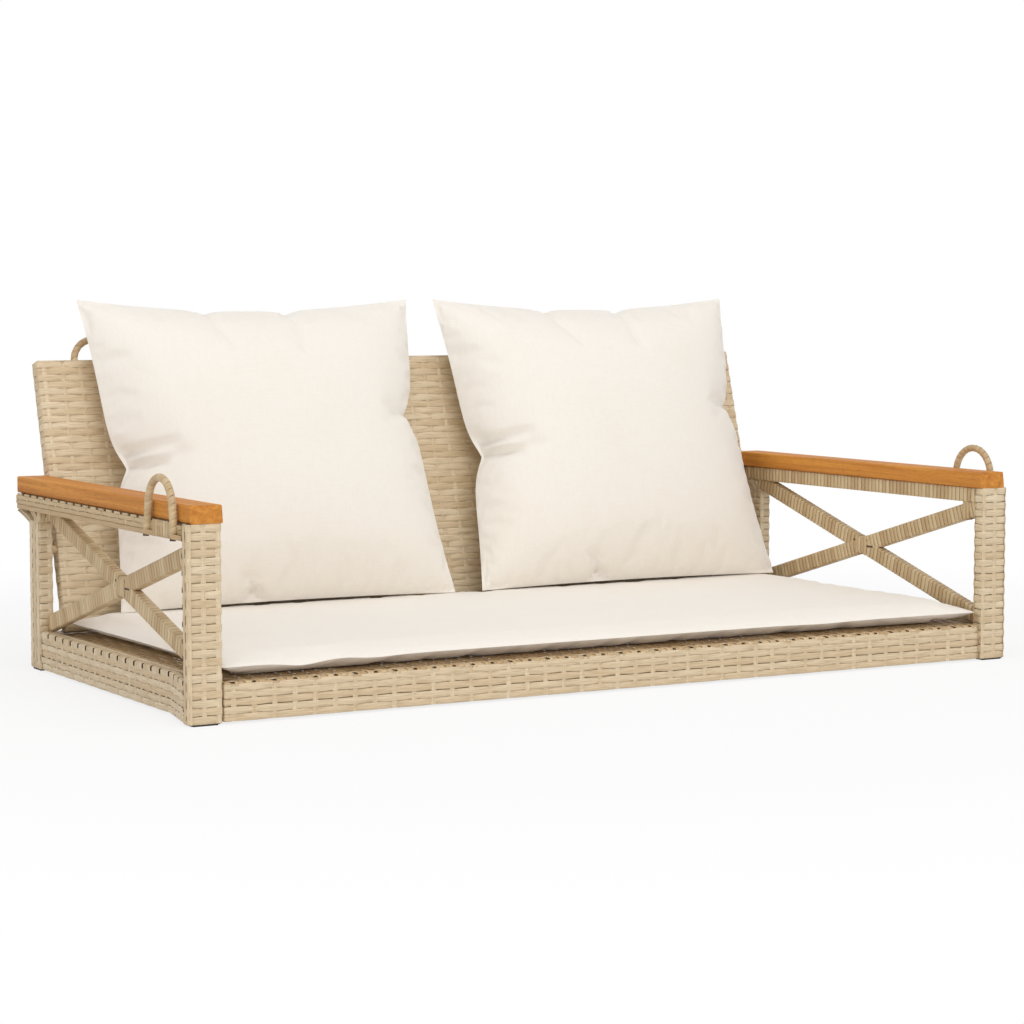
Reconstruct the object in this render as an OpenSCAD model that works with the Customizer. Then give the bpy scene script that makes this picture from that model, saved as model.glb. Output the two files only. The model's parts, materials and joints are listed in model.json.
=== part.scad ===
// Hanging bench: two woven arm frames with cross braces carry a woven seat panel and
// a leaning woven back panel. Wooden boards lie on the arms, loose cushions on the seat,
// and four wrapped steel loops take the hanging ropes.
// Millimetres. X runs across the bench, the front faces -Y and Z is up.
// Left is the -X side. The feet stand on Z = 0.

/* [Overall size] */
// Width across the front posts, without the loops
bench_w = 1180; // [1000:10:1500]
// Depth of an arm frame, from its front post to the back of its rear post
frame_d = 560; // [500:5:640]
// Height of the arm frames, up to the underside of the wooden boards
arm_h = 230; // [190:1:280]
// Height of the woven seat surface
seat_h = 48.5; // [44:0.5:70]
// Height of the back panel's top edge
back_h = 400; // [340:5:520]
// Lean of the back panel from the vertical, in degrees
back_lean = 16; // [10:1:22]
// Distance from the foot of the back panel's face to the back of the arm frames
back_setback = 60; // [55:1:70]
// Gap between the seat or back panel and each arm frame
panel_gap = 2.5; // [1:0.5:5]

/* [Tubes and weave] */
// Side of the square steel tubes
tube = 14; // [12:1:16]
// Wall thickness of the steel tubes
tube_wall = 1.2; // [0.8:0.1:2]
// Thickness of one layer of woven plastic strip
strip = 1; // [0.8:0.1:1.4]
// Thickness of the flat woven sheets of seat and back
sheet_t = 2.5; // [1.6:0.1:4]
// Pitch of the woven rows
row_pitch = 9.5; // [6:0.5:14]
// Width of the groove between two rows
row_groove = 1; // [0.6:0.1:2]
// Depth of the groove between two rows
groove_depth = 0.5; // [0.3:0.1:0.6]

/* [Arm frames] */
// Width of a front post and of the rail behind it
post_w = 41; // [38:1:56]
// Height of the rail under the wooden board
rail_h = 20; // [16:1:28]
// How far the rail reaches past the rear post
rail_past = 3; // [0:1:20]
// How far the side panel lies in from the outer face of the post
panel_inset = 16; // [12:1:18]
// Depth of a rear post
rear_post_d = 37; // [34:1:56]
// Height over which the rear post widens to the rail
collar_h = 17; // [8:1:30]
// Top of the woven apron of the side panel
side_apron_top = 52; // [50:1:64]
// Length over which the side apron flares out to the front post
flare_l = 76; // [40:2:120]
// Underside of all aprons
apron_z = 3; // [2.5:0.5:8]
// Width of a wrapped cross brace
brace_w = 21; // [14:1:24]
// Thickness of a wrapped cross brace
brace_t = 12; // [10:1:14]
// How far a brace lies in from the outer face of the post
brace_inset = 26; // [20:1:27]
// Middle of the rising brace over the apron, at the front post
rising_foot = 6; // [0:0.5:12]
// Middle of the rising brace under the rail, at the rear post
rising_head = 1; // [0:0.5:12]
// Middle of the falling brace under the rail, at the front post
falling_head = 6.5; // [2:0.5:12]
// Middle of the falling brace over the apron, at the rear post
falling_foot = 9.5; // [6:0.5:20]
// Length of the wrapped knot where the braces cross
knot_l = 25; // [20:1:40]
// Height of the plastic feet
foot_h = 2; // [1:0.5:2]
// How far a foot lies in from the end of its post
foot_inset = 5; // [3:0.5:8]

/* [Wooden armrests] */
// Thickness of a board
board_t = 21; // [14:1:30]
// How far a board reaches past the rear post
board_past = 10; // [0:1:60]
// Overhang of a board on the side of the seat
board_lip = 2.5; // [0:0.5:3]
// Gap between a board and the hanging loop beside it
board_gap = 1.5; // [1:0.5:6]
// Radius of the eased edges of a board
board_ease = 2; // [1:0.5:4]
// How far the front face of a board leans back over its thickness
board_slope = 3; // [0:0.5:6]
// Screws that hold each board
board_screws = 4; // [2:1:6]

/* [Hanging loops] */
// Diameter of the steel rod of a loop
rod_d = 6; // [5:0.5:8]
// Diameter of a loop with its wrapping
loop_d = 9.5; // [8.5:0.5:12]
// Radius of the bend of a front loop, to the middle of the rod
loop_r = 36; // [26:1:40]
// Splay of the legs of a front loop, in degrees
loop_splay = 7; // [0:1:16]
// Distance from the front to the middle of a front loop
front_loop_y = 72.5; // [60:0.5:120]
// Height of a front loop's crown above the top of the board
front_loop_rise = 28; // [24:1:60]
// Distance between the rod of a front loop and the steel tube it is welded to
loop_weld = 0.5; // [0.3:0.1:1.5]
// Radius of the bend of a rear loop, to the middle of the rod
rear_loop_r = 30; // [24:1:40]
// Distance from the end of the back panel to the middle of a rear loop
rear_loop_in = 85.5; // [60:0.5:200]
// Length of the straight legs of a rear loop above the back panel
rear_loop_leg = 0.5; // [0.5:0.5:20]

/* [Inner frame] */
// Bars under the seat
seat_bars = 4; // [2:1:6]
// Inner uprights of the back panel
back_uprights = 2; // [1:1:4]
// Diameter of the frame bolts
bolt_d = 6; // [5:1:6]
// Diameter of the spacer bushes on the bolts
bush_d = 12; // [11:1:13]

/* [Cushions] */
// Gap between the seat cushion and each arm frame
pad_side = 4; // [3.5:0.5:20]
// Distance from the front to the seam of the seat cushion
pad_front = 6; // [2:1:40]
// Gap between the seat cushion and the foot of the back panel
pad_back = 2; // [1:1:30]
// Thickness of the seat cushion under its seam
pad_under = 15.5; // [6:0.5:20]
// Thickness of the seat cushion over its seam
pad_over = 14; // [10:1:40]
// Gap between the left arm frame and the left back cushion
left_pillow_gap = 57; // [10:1:80]
// Gap between the two back cushions
middle_pillow_gap = 42; // [10:1:80]
// Gap between the right arm frame and the right back cushion
right_pillow_gap = 19; // [10:1:80]
// Height of a back cushion, corner to corner
pillow_h = 427; // [380:1:480]
// Crown of a back cushion on its front
pillow_front = 76; // [50:1:100]
// Crown of a back cushion towards the back panel
pillow_back = 50; // [30:1:60]
// Lean of a back cushion from the vertical, in degrees
pillow_lean = 20; // [18:1:26]
// Distance from the lower seam of a back cushion to the foot of the back panel
pillow_foot = 50; // [45:1:80]
// Distance kept between a cushion and what it lies on
soft_gap = 0.3; // [0.2:0.1:1]

/* [Hidden] */

// Colours
steel_grey = "#5b5650";
rattan = "#c8b08a";
rattan_dark = "#6b4a33";
acacia = "#c07c3c";
zinc = "#b9bcc0";
black_plastic = "#262422";
cream = "#f1ebe0";

// Places across the bench
half_w = bench_w / 2;
skin = tube + 2 * strip;
post_in = half_w - post_w;
panel_half = post_in - panel_gap;
side_out = half_w - panel_inset;
side_in = side_out - skin;
tube_in_x = post_in + strip;
tube_out_x = half_w - strip - tube;
side_tube_x = side_in + strip;
bush_l = side_in - panel_half;

// Places from the front to the back, measured from the front face of the posts
rear_y = frame_d - rear_post_d;
rail_end = frame_d + rail_past;
board_l = frame_d + board_past;
rear_rail_y = frame_d - skin;
back_start = frame_d - back_setback;

// Heights
rail_z = arm_h - rail_h;
board_top = arm_h + board_t;
rail_top_z = seat_h - sheet_t;
seat_tube_z = rail_top_z - tube;
low_tube_z = apron_z + strip;

// Cross braces: each runs across the opening of the side panel, from a height at the
// front post to a height at the rear post
open_y = [skin, rear_y];
open_z = [side_apron_top, rail_z];
open_l = open_y[1] - open_y[0];
rising_ends = [open_z[0] + rising_foot, open_z[1] - rising_head];
falling_ends = [open_z[1] - falling_head, open_z[0] + falling_foot];
function slope(ends) = (ends[1] - ends[0]) / open_l;
rising = atan(slope(rising_ends));
falling = atan(slope(falling_ends));
cross_in = (falling_ends[0] - rising_ends[0]) / (slope(rising_ends) - slope(falling_ends));
cross = [
    half_w - brace_inset - brace_t / 2,
    open_y[0] + cross_in,
    rising_ends[0] + cross_in * slope(rising_ends)
];

// Back panel: its own frame starts at the foot of its face and leans back
back_t = sheet_t + tube + strip;
back_z = seat_h + soft_gap + back_t * sin(back_lean);
back_l = (back_h - back_z) / cos(back_lean);
function back_point(y, z) = [
    back_start + y * cos(back_lean) + z * sin(back_lean),
    back_z - y * sin(back_lean) + z * cos(back_lean)
];

// Loops
loop_step = 0.2;
loop_lap = 1.5;
front_loop_x = half_w - strip + loop_weld + rod_d / 2;
front_loop_in = front_loop_x - (loop_d + loop_step) / 2;
front_loop_foot = rail_z + 3;
front_loop_bend = board_top + front_loop_rise - loop_r;
function leg_y(z) = loop_r / cos(loop_splay) + (front_loop_bend - z) * tan(loop_splay);
rear_loop_x = panel_half - rear_loop_in;
rear_loop_y = sheet_t + tube / 2;
rear_loop_bend = back_l + rear_loop_leg;
weld_h = 14;

// The rear loops reach furthest back, so they set the overall depth
overall_d = back_point(rear_loop_y, rear_loop_bend + rear_loop_r)[0] + loop_d / 2;

// Bolts: two through each side of the seat and one through each side of the back
bolt_hole_d = bolt_d + 0.4;
bolt_head_d = 10.5;
bolt_head_h = 3.3;
washer_d = 12;
washer_t = 1.2;
nut_d = 9;
nut_l = 12;
seat_bolt_in = 120;
seat_bolts = [for (y = [seat_bolt_in, frame_d - seat_bolt_in]) [y, seat_tube_z + tube / 2]];

// The back bolt lies halfway up the stretch over which the back panel passes the post
function back_height(y) = (y - back_point(sheet_t + tube / 2, 0)[0]) / sin(back_lean);
back_bolt_low = back_height(rear_y + nut_d);
back_bolt_high = min(
    back_height(frame_d - nut_d),
    (rail_z - collar_h - nut_d - back_z) / cos(back_lean)
);
back_bolt = back_point(sheet_t + tube / 2, (back_bolt_low + back_bolt_high) / 2);
bolts = concat(seat_bolts, [back_bolt]);

// Armrest screws go up through the inner tube of the rail
screw_d = 4;
screw_head_d = 8;
screw_head_h = 3;
screw_grip = 14;
screw_x = tube_in_x + tube / 2;
screw_first = 60;
screw_step = (rear_y - 2 * screw_first) / (board_screws - 1);

// Boxes of steel tube are pairs of opposite corners
upright_tubes = [for (x = [tube_in_x, tube_out_x])
    [[x, strip, foot_h], [x + tube, strip + tube, arm_h - strip]]];
rail_tubes = [for (x = [tube_in_x, tube_out_x])
    [[x, strip + tube, rail_z + strip], [x + tube, rail_end - strip, arm_h - strip]]];
rail_spacer = [
    [tube_in_x + tube, rail_end - strip - tube, rail_z + strip],
    [tube_out_x, rail_end - strip, arm_h - strip]
];
rear_tube = [
    [side_tube_x, rear_y + strip, foot_h],
    [side_tube_x + tube, frame_d - strip, rail_z + strip]
];
apron_tubes = [for (z = [low_tube_z, seat_tube_z])
    [[side_tube_x, strip + tube, z], [side_tube_x + tube, rear_y + strip, z + tube]]];
weld_y = leg_y(front_loop_foot + weld_h / 2);
weld_x = front_loop_x - (rod_d + loop_step) / 2;
loop_welds = [for (y = [-1, 1])
    [[half_w - strip, front_loop_y + y * weld_y - rod_d / 4, front_loop_foot],
     [weld_x, front_loop_y + y * weld_y + rod_d / 4, front_loop_foot + weld_h]]];
side_tubes = concat(upright_tubes, rail_tubes, [rail_spacer, rear_tube], apron_tubes);

seat_long_tubes = [for (y = [strip, frame_d - strip - tube], z = [low_tube_z, seat_tube_z])
    [[strip - panel_half, y, z], [panel_half - strip, y + tube, z + tube]]];
seat_side_tubes = [for (x = [strip - panel_half, panel_half - strip - tube])
    [[x, strip + tube, seat_tube_z], [x + tube, frame_d - strip - tube, rail_top_z]]];
seat_stiles = [for (x = [strip - panel_half, -tube / 2, panel_half - strip - tube],
                    y = [strip, frame_d - strip - tube])
    [[x, y, low_tube_z + tube], [x + tube, y + tube, seat_tube_z]]];
seat_tubes = concat(seat_long_tubes, seat_side_tubes, seat_stiles);
seat_bar_step = 2 * panel_half / (seat_bars + 1);
seat_bar_tubes = [for (i = [1:seat_bars])
    [[i * seat_bar_step - panel_half - tube / 2, strip + tube, seat_tube_z],
     [i * seat_bar_step - panel_half + tube / 2, frame_d - strip - tube, rail_top_z]]];

back_long_tubes = [for (z = [strip, back_l - strip - tube])
    [[strip - panel_half, sheet_t, z], [panel_half - strip, sheet_t + tube, z + tube]]];
back_side_tubes = [for (x = [strip - panel_half, panel_half - strip - tube])
    [[x, sheet_t, strip + tube], [x + tube, sheet_t + tube, back_l - strip - tube]]];
back_upright_step = 2 * panel_half / (back_uprights + 1);
back_inner_tubes = [for (i = [1:back_uprights])
    [[i * back_upright_step - panel_half - tube / 2, sheet_t, strip + tube],
     [i * back_upright_step - panel_half + tube / 2, sheet_t + tube, back_l - strip - tube]]];
back_tubes = concat(back_long_tubes, back_side_tubes, back_inner_tubes);

// Frames of reference: y = 0 at the front face of the posts
module place() {
    translate([0, -overall_d / 2, 0])
        children();
}

module right() {
    place()
        children();
}

module left() {
    place()
        mirror([1, 0, 0])
            children();
}

module on_back() {
    translate([0, back_start, back_z])
        rotate([-back_lean, 0, 0])
            children();
}

// Steel tubes
module boxes(list, inset = 0) {
    for (box = list)
        translate(box[0] + inset * [1, 1, 1])
            cube(box[1] - box[0] - 2 * inset * [1, 1, 1]);
}

module welded(list) {
    difference() {
        boxes(list);
        boxes(list, tube_wall);
    }
}

module brace_bar(angle, width, thick) {
    translate(cross)
        rotate([angle, 0, 0])
            cube([thick, 2 * open_l, width], center = true);
}

module brace_window(reach, span = open_y) {
    low = [cross[0] - brace_t, span[0] - reach, open_z[0] - reach];
    high = [cross[0] + brace_t, span[1] + reach, open_z[1] + reach];
    boxes([[low, high]]);
}

module brace_cores(inset = 0) {
    intersection() {
        for (angle = [rising, falling])
            brace_bar(angle, brace_w - 2 * strip - 2 * inset, brace_t - 2 * strip - 2 * inset);
        brace_window(strip - inset);
    }
}

module bolt_holes(d, x0, x1) {
    for (at = bolts)
        translate([x0, at[0], at[1]])
            rotate([0, 90, 0])
                cylinder(d = d, h = x1 - x0, $fn = 32);
}

module screw_holes(d, z0, z1) {
    for (i = [0:board_screws - 1])
        translate([screw_x, screw_first + i * screw_step, z0])
            cylinder(d = d, h = z1 - z0, $fn = 24);
}

module side_steel() {
    boxes(side_tubes);
    boxes(loop_welds);
    brace_cores();
}

module side_frame() {
    color(steel_grey)
        difference() {
            side_steel();
            boxes(side_tubes, tube_wall);
            brace_cores(tube_wall);
            bolt_holes(nut_d, side_in, side_tube_x + 2 * tube_wall);
            screw_holes(screw_head_d + 1, rail_z, rail_z + strip + 2 * tube_wall);
            screw_holes(screw_d + 0.4, arm_h - strip - 2 * tube_wall, arm_h);
            foot_plugs();
        }
}

module left_side_frame() {
    left() side_frame();
}

module right_side_frame() {
    right() side_frame();
}

module both_sides() {
    children();
    mirror([1, 0, 0])
        children();
}

module seat_frame() {
    color(steel_grey)
        place()
            difference() {
                welded(seat_tubes);
                both_sides()
                    bolt_holes(bolt_hole_d, panel_half - skin, panel_half);
            }
}

module seat_cross_bars() {
    color(steel_grey)
        place()
            welded(seat_bar_tubes);
}

module back_frame() {
    color(steel_grey)
        place()
            difference() {
                on_back()
                    welded(back_tubes);
                both_sides()
                    bolt_holes(bolt_hole_d, panel_half - skin, panel_half);
            }
}

// Woven rows: the first child is the outline of a row, the second that of a groove
module rows(z0, z1) {
    count = max(1, round((z1 - z0) / row_pitch));
    pitch = (z1 - z0) / count;
    for (i = [0:count - 1])
        translate([0, 0, z0 + i * pitch])
            linear_extrude(pitch - (i < count - 1 ? row_groove : 0))
                children(0);
    translate([0, 0, z0])
        linear_extrude(z1 - z0)
            children(1);
}

module ring(from, to, dent) {
    difference() {
        translate(from + dent * [1, 1])
            square(to - from - 2 * dent * [1, 1]);
        translate(from + strip * [1, 1])
            square(to - from - 2 * strip * [1, 1]);
    }
}

module woven_sleeve(from, to) {
    low = [from[0], from[1]];
    high = [to[0], to[1]];
    rows(from[2], to[2]) {
        ring(low, high, 0);
        ring(low, high, groove_depth);
    }
}

module front_post_weave() {
    color(rattan)
        difference() {
            woven_sleeve([post_in, 0, foot_h], [half_w, skin, arm_h]);
            side_steel();
        }
}

module left_front_post_weave() {
    left() front_post_weave();
}

module right_front_post_weave() {
    right() front_post_weave();
}

// The rear post widens at its top to carry the rail above it
module rear_collar(dent) {
    z0 = rail_z - collar_h;
    translate([0, frame_d - dent, 0])
        rotate([90, 0, 0])
            linear_extrude(rear_post_d - 2 * dent)
                polygon([
                    [side_in + dent, z0], [side_out - dent, z0],
                    [half_w - dent, rail_z], [post_in + dent, rail_z]
                ]);
}

module rear_post_weave() {
    color(rattan)
        difference() {
            union() {
                woven_sleeve([side_in, rear_y, foot_h], [side_out, frame_d, rail_z - collar_h]);
                difference() {
                    rear_collar(0);
                    rear_collar(strip);
                }
            }
            side_steel();
            bolt_holes(bush_d, side_in - strip, side_tube_x);
        }
}

module left_rear_post_weave() {
    left() rear_post_weave();
}

module right_rear_post_weave() {
    right() rear_post_weave();
}

module arm_rail_weave() {
    size = [post_w, rail_end - skin, rail_h];
    color(rattan)
        difference() {
            translate([post_in, skin, rail_z])
                cube(size);
            translate([post_in + strip, skin - strip, rail_z + strip])
                cube(size - [2 * strip, 0, 2 * strip]);
            side_steel();
            front_loop(loop_d);
            screw_holes(screw_head_d + 1, rail_z - strip, rail_z + strip);
            screw_holes(screw_d + 0.4, arm_h - strip, arm_h + strip);
        }
}

module left_arm_rail_weave() {
    left() arm_rail_weave();
}

module right_arm_rail_weave() {
    right() arm_rail_weave();
}

// Plan of the side apron, which flares out to the full width of the front post
module apron_plan(dent) {
    polygon([
        [side_in + dent, skin], [half_w - dent, skin],
        [side_out - dent, skin + flare_l], [side_out - dent, rear_y], [side_in + dent, rear_y]
    ]);
}

module apron_ring(dent) {
    difference() {
        apron_plan(dent);
        apron_plan(strip);
    }
}

module side_apron_weave() {
    color(rattan)
        difference() {
            union() {
                rows(apron_z, side_apron_top) {
                    apron_ring(0);
                    apron_ring(groove_depth);
                }
                for (z = [apron_z, side_apron_top - strip])
                    translate([0, 0, z])
                        linear_extrude(strip)
                            apron_plan(groove_depth);
            }
            side_steel();
            bolt_holes(bush_d, side_in - strip, side_tube_x);
        }
}

module left_side_apron_weave() {
    left() side_apron_weave();
}

module right_side_apron_weave() {
    right() side_apron_weave();
}

// The falling brace is wrapped in one piece, and the rising one in two that end at it
module wrapped_brace(angle, span = open_y) {
    intersection() {
        brace_bar(angle, brace_w, brace_t);
        brace_window(0, span);
    }
}

module rising_brace_wrap() {
    color(rattan)
        for (span = [[open_y[0], cross[1] - strip], [cross[1] + strip, open_y[1]]])
            difference() {
                wrapped_brace(rising, span);
                wrapped_brace(falling);
                side_steel();
            }
}

module left_rising_brace_wrap() {
    left() rising_brace_wrap();
}

module right_rising_brace_wrap() {
    right() rising_brace_wrap();
}

module falling_brace_wrap() {
    color(rattan)
        difference() {
            wrapped_brace(falling);
            side_steel();
        }
}

module left_falling_brace_wrap() {
    left() falling_brace_wrap();
}

module right_falling_brace_wrap() {
    right() falling_brace_wrap();
}

module brace_knot() {
    color(rattan)
        difference() {
            intersection() {
                for (angle = [rising, falling])
                    brace_bar(angle, brace_w + 2 * strip, brace_t + 2 * strip);
                translate(cross)
                    cube([3 * brace_t, knot_l, 4 * brace_w], center = true);
            }
            wrapped_brace(rising);
            wrapped_brace(falling);
        }
}

module left_brace_knot() {
    left() brace_knot();
}

module right_brace_knot() {
    right() brace_knot();
}

// Woven aprons of the seat panel, open at the top where the seat weave closes them
module seat_apron(y0) {
    difference() {
        union() {
            woven_sleeve([-panel_half, y0, apron_z], [panel_half, y0 + skin, rail_top_z]);
            translate([groove_depth - panel_half, y0 + groove_depth, apron_z])
                cube([2 * (panel_half - groove_depth), skin - 2 * groove_depth, strip]);
        }
        boxes(seat_tubes);
        boxes(seat_bar_tubes);
    }
}

module front_apron_weave() {
    color(rattan)
        place()
            seat_apron(0);
}

module rear_apron_weave() {
    color(rattan)
        place()
            seat_apron(rear_rail_y);
}

// Seat surface, with rows from front to back, and the sleeves round the side tubes
module seat_weave() {
    count = round(2 * panel_half / row_pitch);
    pitch = 2 * panel_half / count;
    color(rattan_dark)
        place()
            difference() {
                union() {
                    translate([-panel_half, 0, rail_top_z])
                        cube([2 * panel_half, frame_d, sheet_t - groove_depth]);
                    for (i = [0:count - 1])
                        translate([i * pitch - panel_half, 0, rail_top_z])
                            cube([pitch - (i < count - 1 ? row_groove : 0), frame_d, sheet_t]);
                    both_sides()
                        translate([panel_half - skin, skin, seat_tube_z - strip])
                            cube([skin, frame_d - 2 * skin, tube + strip]);
                }
                boxes(seat_tubes);
                both_sides()
                    bolt_holes(washer_d + 1, panel_half - skin - strip, panel_half - strip - tube);
                both_sides()
                    bolt_holes(bush_d, panel_half - strip, panel_half + strip);
            }
}

module back_plan(dent) {
    translate([-panel_half, dent])
        square([2 * panel_half, sheet_t - dent]);
    both_sides()
        translate([panel_half - skin, dent])
            square([skin - dent, back_t - 2 * dent]);
}

module back_weave() {
    color(rattan)
        place()
            difference() {
                on_back() {
                    rows(0, back_l) {
                        back_plan(0);
                        back_plan(groove_depth);
                    }
                    for (z = [0, back_l - skin])
                        translate([groove_depth - panel_half, groove_depth, z])
                            cube([2 * (panel_half - groove_depth), back_t - groove_depth, skin]);
                }
                on_back()
                    boxes(back_tubes);
                both_sides()
                    bolt_holes(washer_d + 1, panel_half - skin - strip, panel_half - strip - tube);
                both_sides()
                    bolt_holes(bush_d, panel_half - strip, panel_half + strip);
                both_sides()
                    rear_loop_legs(rod_d);
            }
}

module back_upright_wraps() {
    color(rattan)
        place()
            on_back()
                for (box = back_inner_tubes)
                    difference() {
                        translate([box[0][0] - strip, sheet_t, skin])
                            cube([skin, tube + strip, back_l - 2 * skin]);
                        translate([0, 0, -skin])
                            boxes([box]);
                        translate([0, 0, skin])
                            boxes([box]);
                        boxes([box]);
                    }
}

// Wooden boards with eased edges and a front face that leans back a little
module eased_square(size, r) {
    translate([r, 0])
        square(size - [2 * r, 0]);
    translate([0, r])
        square(size - [0, 2 * r]);
    for (x = [r, size[0] - r], y = [r, size[1] - r])
        translate([x, y])
            circle(r, $fn = 32);
}

module armrest() {
    board_in = post_in - board_lip;
    board_w = front_loop_in - board_gap - board_in;
    color(acacia)
        difference() {
            translate([board_in, board_l, arm_h])
                rotate([90, 0, 0])
                    linear_extrude(board_l)
                        eased_square([board_w, board_t], board_ease);
            translate([board_in - board_w, 0, arm_h])
                rotate([-atan(board_slope / board_t), 0, 0])
                    translate([0, -board_t, -board_t])
                        cube([3 * board_w, board_t, 3 * board_t]);
            screw_holes(screw_d, arm_h - strip, arm_h - strip - tube_wall + screw_grip);
        }
}

module left_armrest() {
    left() armrest();
}

module right_armrest() {
    right() armrest();
}

// Loops: an arc with two straight legs, which are a touch thicker and lap over its ends.
// The front ones stand beside the board, in a plane from front to back, and the rear
// ones in the plane of the back panel
module loop(d, r, splay, leg) {
    for (side = [-1, 1])
        rotate([side * splay, 0, 0])
            translate([0, side * r, -leg])
                cylinder(d = d + loop_step, h = leg + loop_lap, $fn = 32);
    rotate([90, 0, 90])
        rotate([0, 0, splay])
            rotate_extrude(angle = 180 - 2 * splay, $fn = 64)
                translate([r, 0])
                    circle(d = d, $fn = 32);
}

module front_loop(d) {
    leg = (front_loop_bend - front_loop_foot) / cos(loop_splay) + loop_r * tan(loop_splay);
    translate([front_loop_x, front_loop_y, front_loop_bend])
        loop(d, loop_r, loop_splay, leg);
}

module rear_loop(d) {
    on_back()
        translate([rear_loop_x, rear_loop_y, rear_loop_bend])
            rotate([0, 0, 90])
                loop(d, rear_loop_r, 0, rear_loop_bend - back_l + strip);
}

module rear_loop_legs(d) {
    on_back()
        for (x = [-1, 1])
            translate([rear_loop_x + x * rear_loop_r, rear_loop_y, back_l - strip])
                cylinder(d = d + loop_step, h = 2 * strip, $fn = 32);
}

module front_loop_rod() {
    color(steel_grey)
        front_loop(rod_d);
}

module left_front_loop_rod() {
    left() front_loop_rod();
}

module right_front_loop_rod() {
    right() front_loop_rod();
}

module rear_loop_rod() {
    color(steel_grey)
        rear_loop(rod_d);
}

module left_rear_loop_rod() {
    left() rear_loop_rod();
}

module right_rear_loop_rod() {
    right() rear_loop_rod();
}

module front_loop_wrap() {
    color(rattan)
        difference() {
            front_loop(loop_d);
            front_loop(rod_d);
            side_steel();
        }
}

module left_front_loop_wrap() {
    left() front_loop_wrap();
}

module right_front_loop_wrap() {
    right() front_loop_wrap();
}

module rear_loop_wrap() {
    color(rattan)
        difference() {
            rear_loop(loop_d);
            rear_loop(rod_d);
            on_back()
                translate([0, -loop_d, back_l - 2 * skin])
                    cube([panel_half, back_t + 2 * loop_d, 2 * skin]);
        }
}

module left_rear_loop_wrap() {
    left() rear_loop_wrap();
}

module right_rear_loop_wrap() {
    right() rear_loop_wrap();
}

// Fasteners between the panels and the arm frames
module at_bolts() {
    place()
        both_sides()
            for (at = bolts)
                translate([panel_half - strip - tube, at[0], at[1]])
                    rotate([0, 90, 0])
                        children();
}

module frame_bolts() {
    color(zinc)
        at_bolts() {
            cylinder(d = bolt_d, h = skin + bush_l + nut_l / 2, $fn = 32);
            translate([0, 0, -washer_t - bolt_head_h])
                cylinder(d = bolt_head_d, h = bolt_head_h, $fn = 32);
            translate([0, 0, -washer_t])
                cylinder(d = bolt_d, h = washer_t, $fn = 32);
        }
}

module bolt_washers() {
    color(zinc)
        at_bolts()
            translate([0, 0, -washer_t])
                difference() {
                    cylinder(d = washer_d, h = washer_t, $fn = 32);
                    translate([0, 0, -washer_t])
                        cylinder(d = bolt_hole_d, h = 3 * washer_t, $fn = 32);
                }
}

module spacer_bushes() {
    color(rattan)
        at_bolts()
            translate([0, 0, tube])
                difference() {
                    cylinder(d = bush_d, h = bush_l + 2 * strip, $fn = 32);
                    translate([0, 0, -1])
                        cylinder(d = bolt_hole_d, h = bush_l + 2 * strip + 2, $fn = 32);
                }
}

module rivet_nuts() {
    color(zinc)
        at_bolts()
            translate([0, 0, tube + 2 * strip + bush_l])
                difference() {
                    cylinder(d = nut_d, h = nut_l, $fn = 32);
                    translate([0, 0, -1])
                        cylinder(d = bolt_d + 0.1, h = nut_l + 2, $fn = 32);
                }
}

module armrest_screws() {
    top = arm_h - strip - tube_wall;
    color(zinc)
        place()
            both_sides()
                for (i = [0:board_screws - 1])
                    translate([screw_x, screw_first + i * screw_step, top]) {
                        cylinder(d = screw_d, h = screw_grip, $fn = 24);
                        translate([0, 0, -screw_head_h])
                            cylinder(d = screw_head_d, h = screw_head_h, $fn = 24);
                    }
}

// Plastic feet plug into the open lower ends of the post tubes
plug_h = 7;
plug_lap = 1;
module foot_plugs() {
    for (box = concat(upright_tubes, [rear_tube]))
        translate([box[0][0] + tube_wall, box[0][1] + tube_wall, foot_h - plug_lap])
            cube([tube - 2 * tube_wall, box[1][1] - box[0][1] - 2 * tube_wall, plug_h + plug_lap]);
}

module foot_pads() {
    color(black_plastic)
        place()
            both_sides() {
                translate([post_in + foot_inset, strip, 0])
                    cube([post_w - 2 * foot_inset, tube, foot_h]);
                translate([side_tube_x, rear_y + foot_inset, 0])
                    cube([tube, rear_post_d - 2 * foot_inset, foot_h]);
                foot_plugs();
            }
}

// Cushions: two crowned faces that meet in a seam, which is drawn in between the corners
// and pinched where the filling is gathered
function spread(i, n) = sin(90 * (2 * i / n - 1));
crown_power = 0.62;
function dome(u, v, square) =
    pow(max(0, 1 - pow(abs(u), square[0])) * max(0, 1 - pow(abs(v), square[1])), crown_power);
function pinch(t, places, depth, width) =
    depth * max([for (p = places) exp(-pow((t - p) / width, 2))]);

module sewn(nu, nv, front, back) {
    stride = nv + 1;
    rim_and_front = (nu + 1) * stride;
    inner = [for (i = [1:nu - 1], j = [1:nv - 1]) back[i][j]];
    points = concat([for (i = [0:nu], j = [0:nv]) front[i][j]], inner);
    function low(i, j) = i == 0 || j == 0 || i == nu || j == nv
        ? i * stride + j
        : rim_and_front + (i - 1) * (nv - 1) + j - 1;
    // Every cell is split along the diagonal that starts at the nearest corner
    function split(i, j, a, b, c, d) = (2 * i < nu) == (2 * j < nv)
        ? [[a, b, c], [a, c, d]]
        : [[a, b, d], [b, c, d]];
    function upper(i, j) = i * stride + j;
    faces = [for (i = [0:nu - 1], j = [0:nv - 1]) each concat(
        split(i, j, upper(i, j), upper(i, j + 1), upper(i + 1, j + 1), upper(i + 1, j)),
        [for (f = split(i, j, low(i, j), low(i, j + 1), low(i + 1, j + 1), low(i + 1, j)))
            [f[2], f[1], f[0]]]
    )];
    polyhedron(points, faces, convexity = 4);
}

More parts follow.
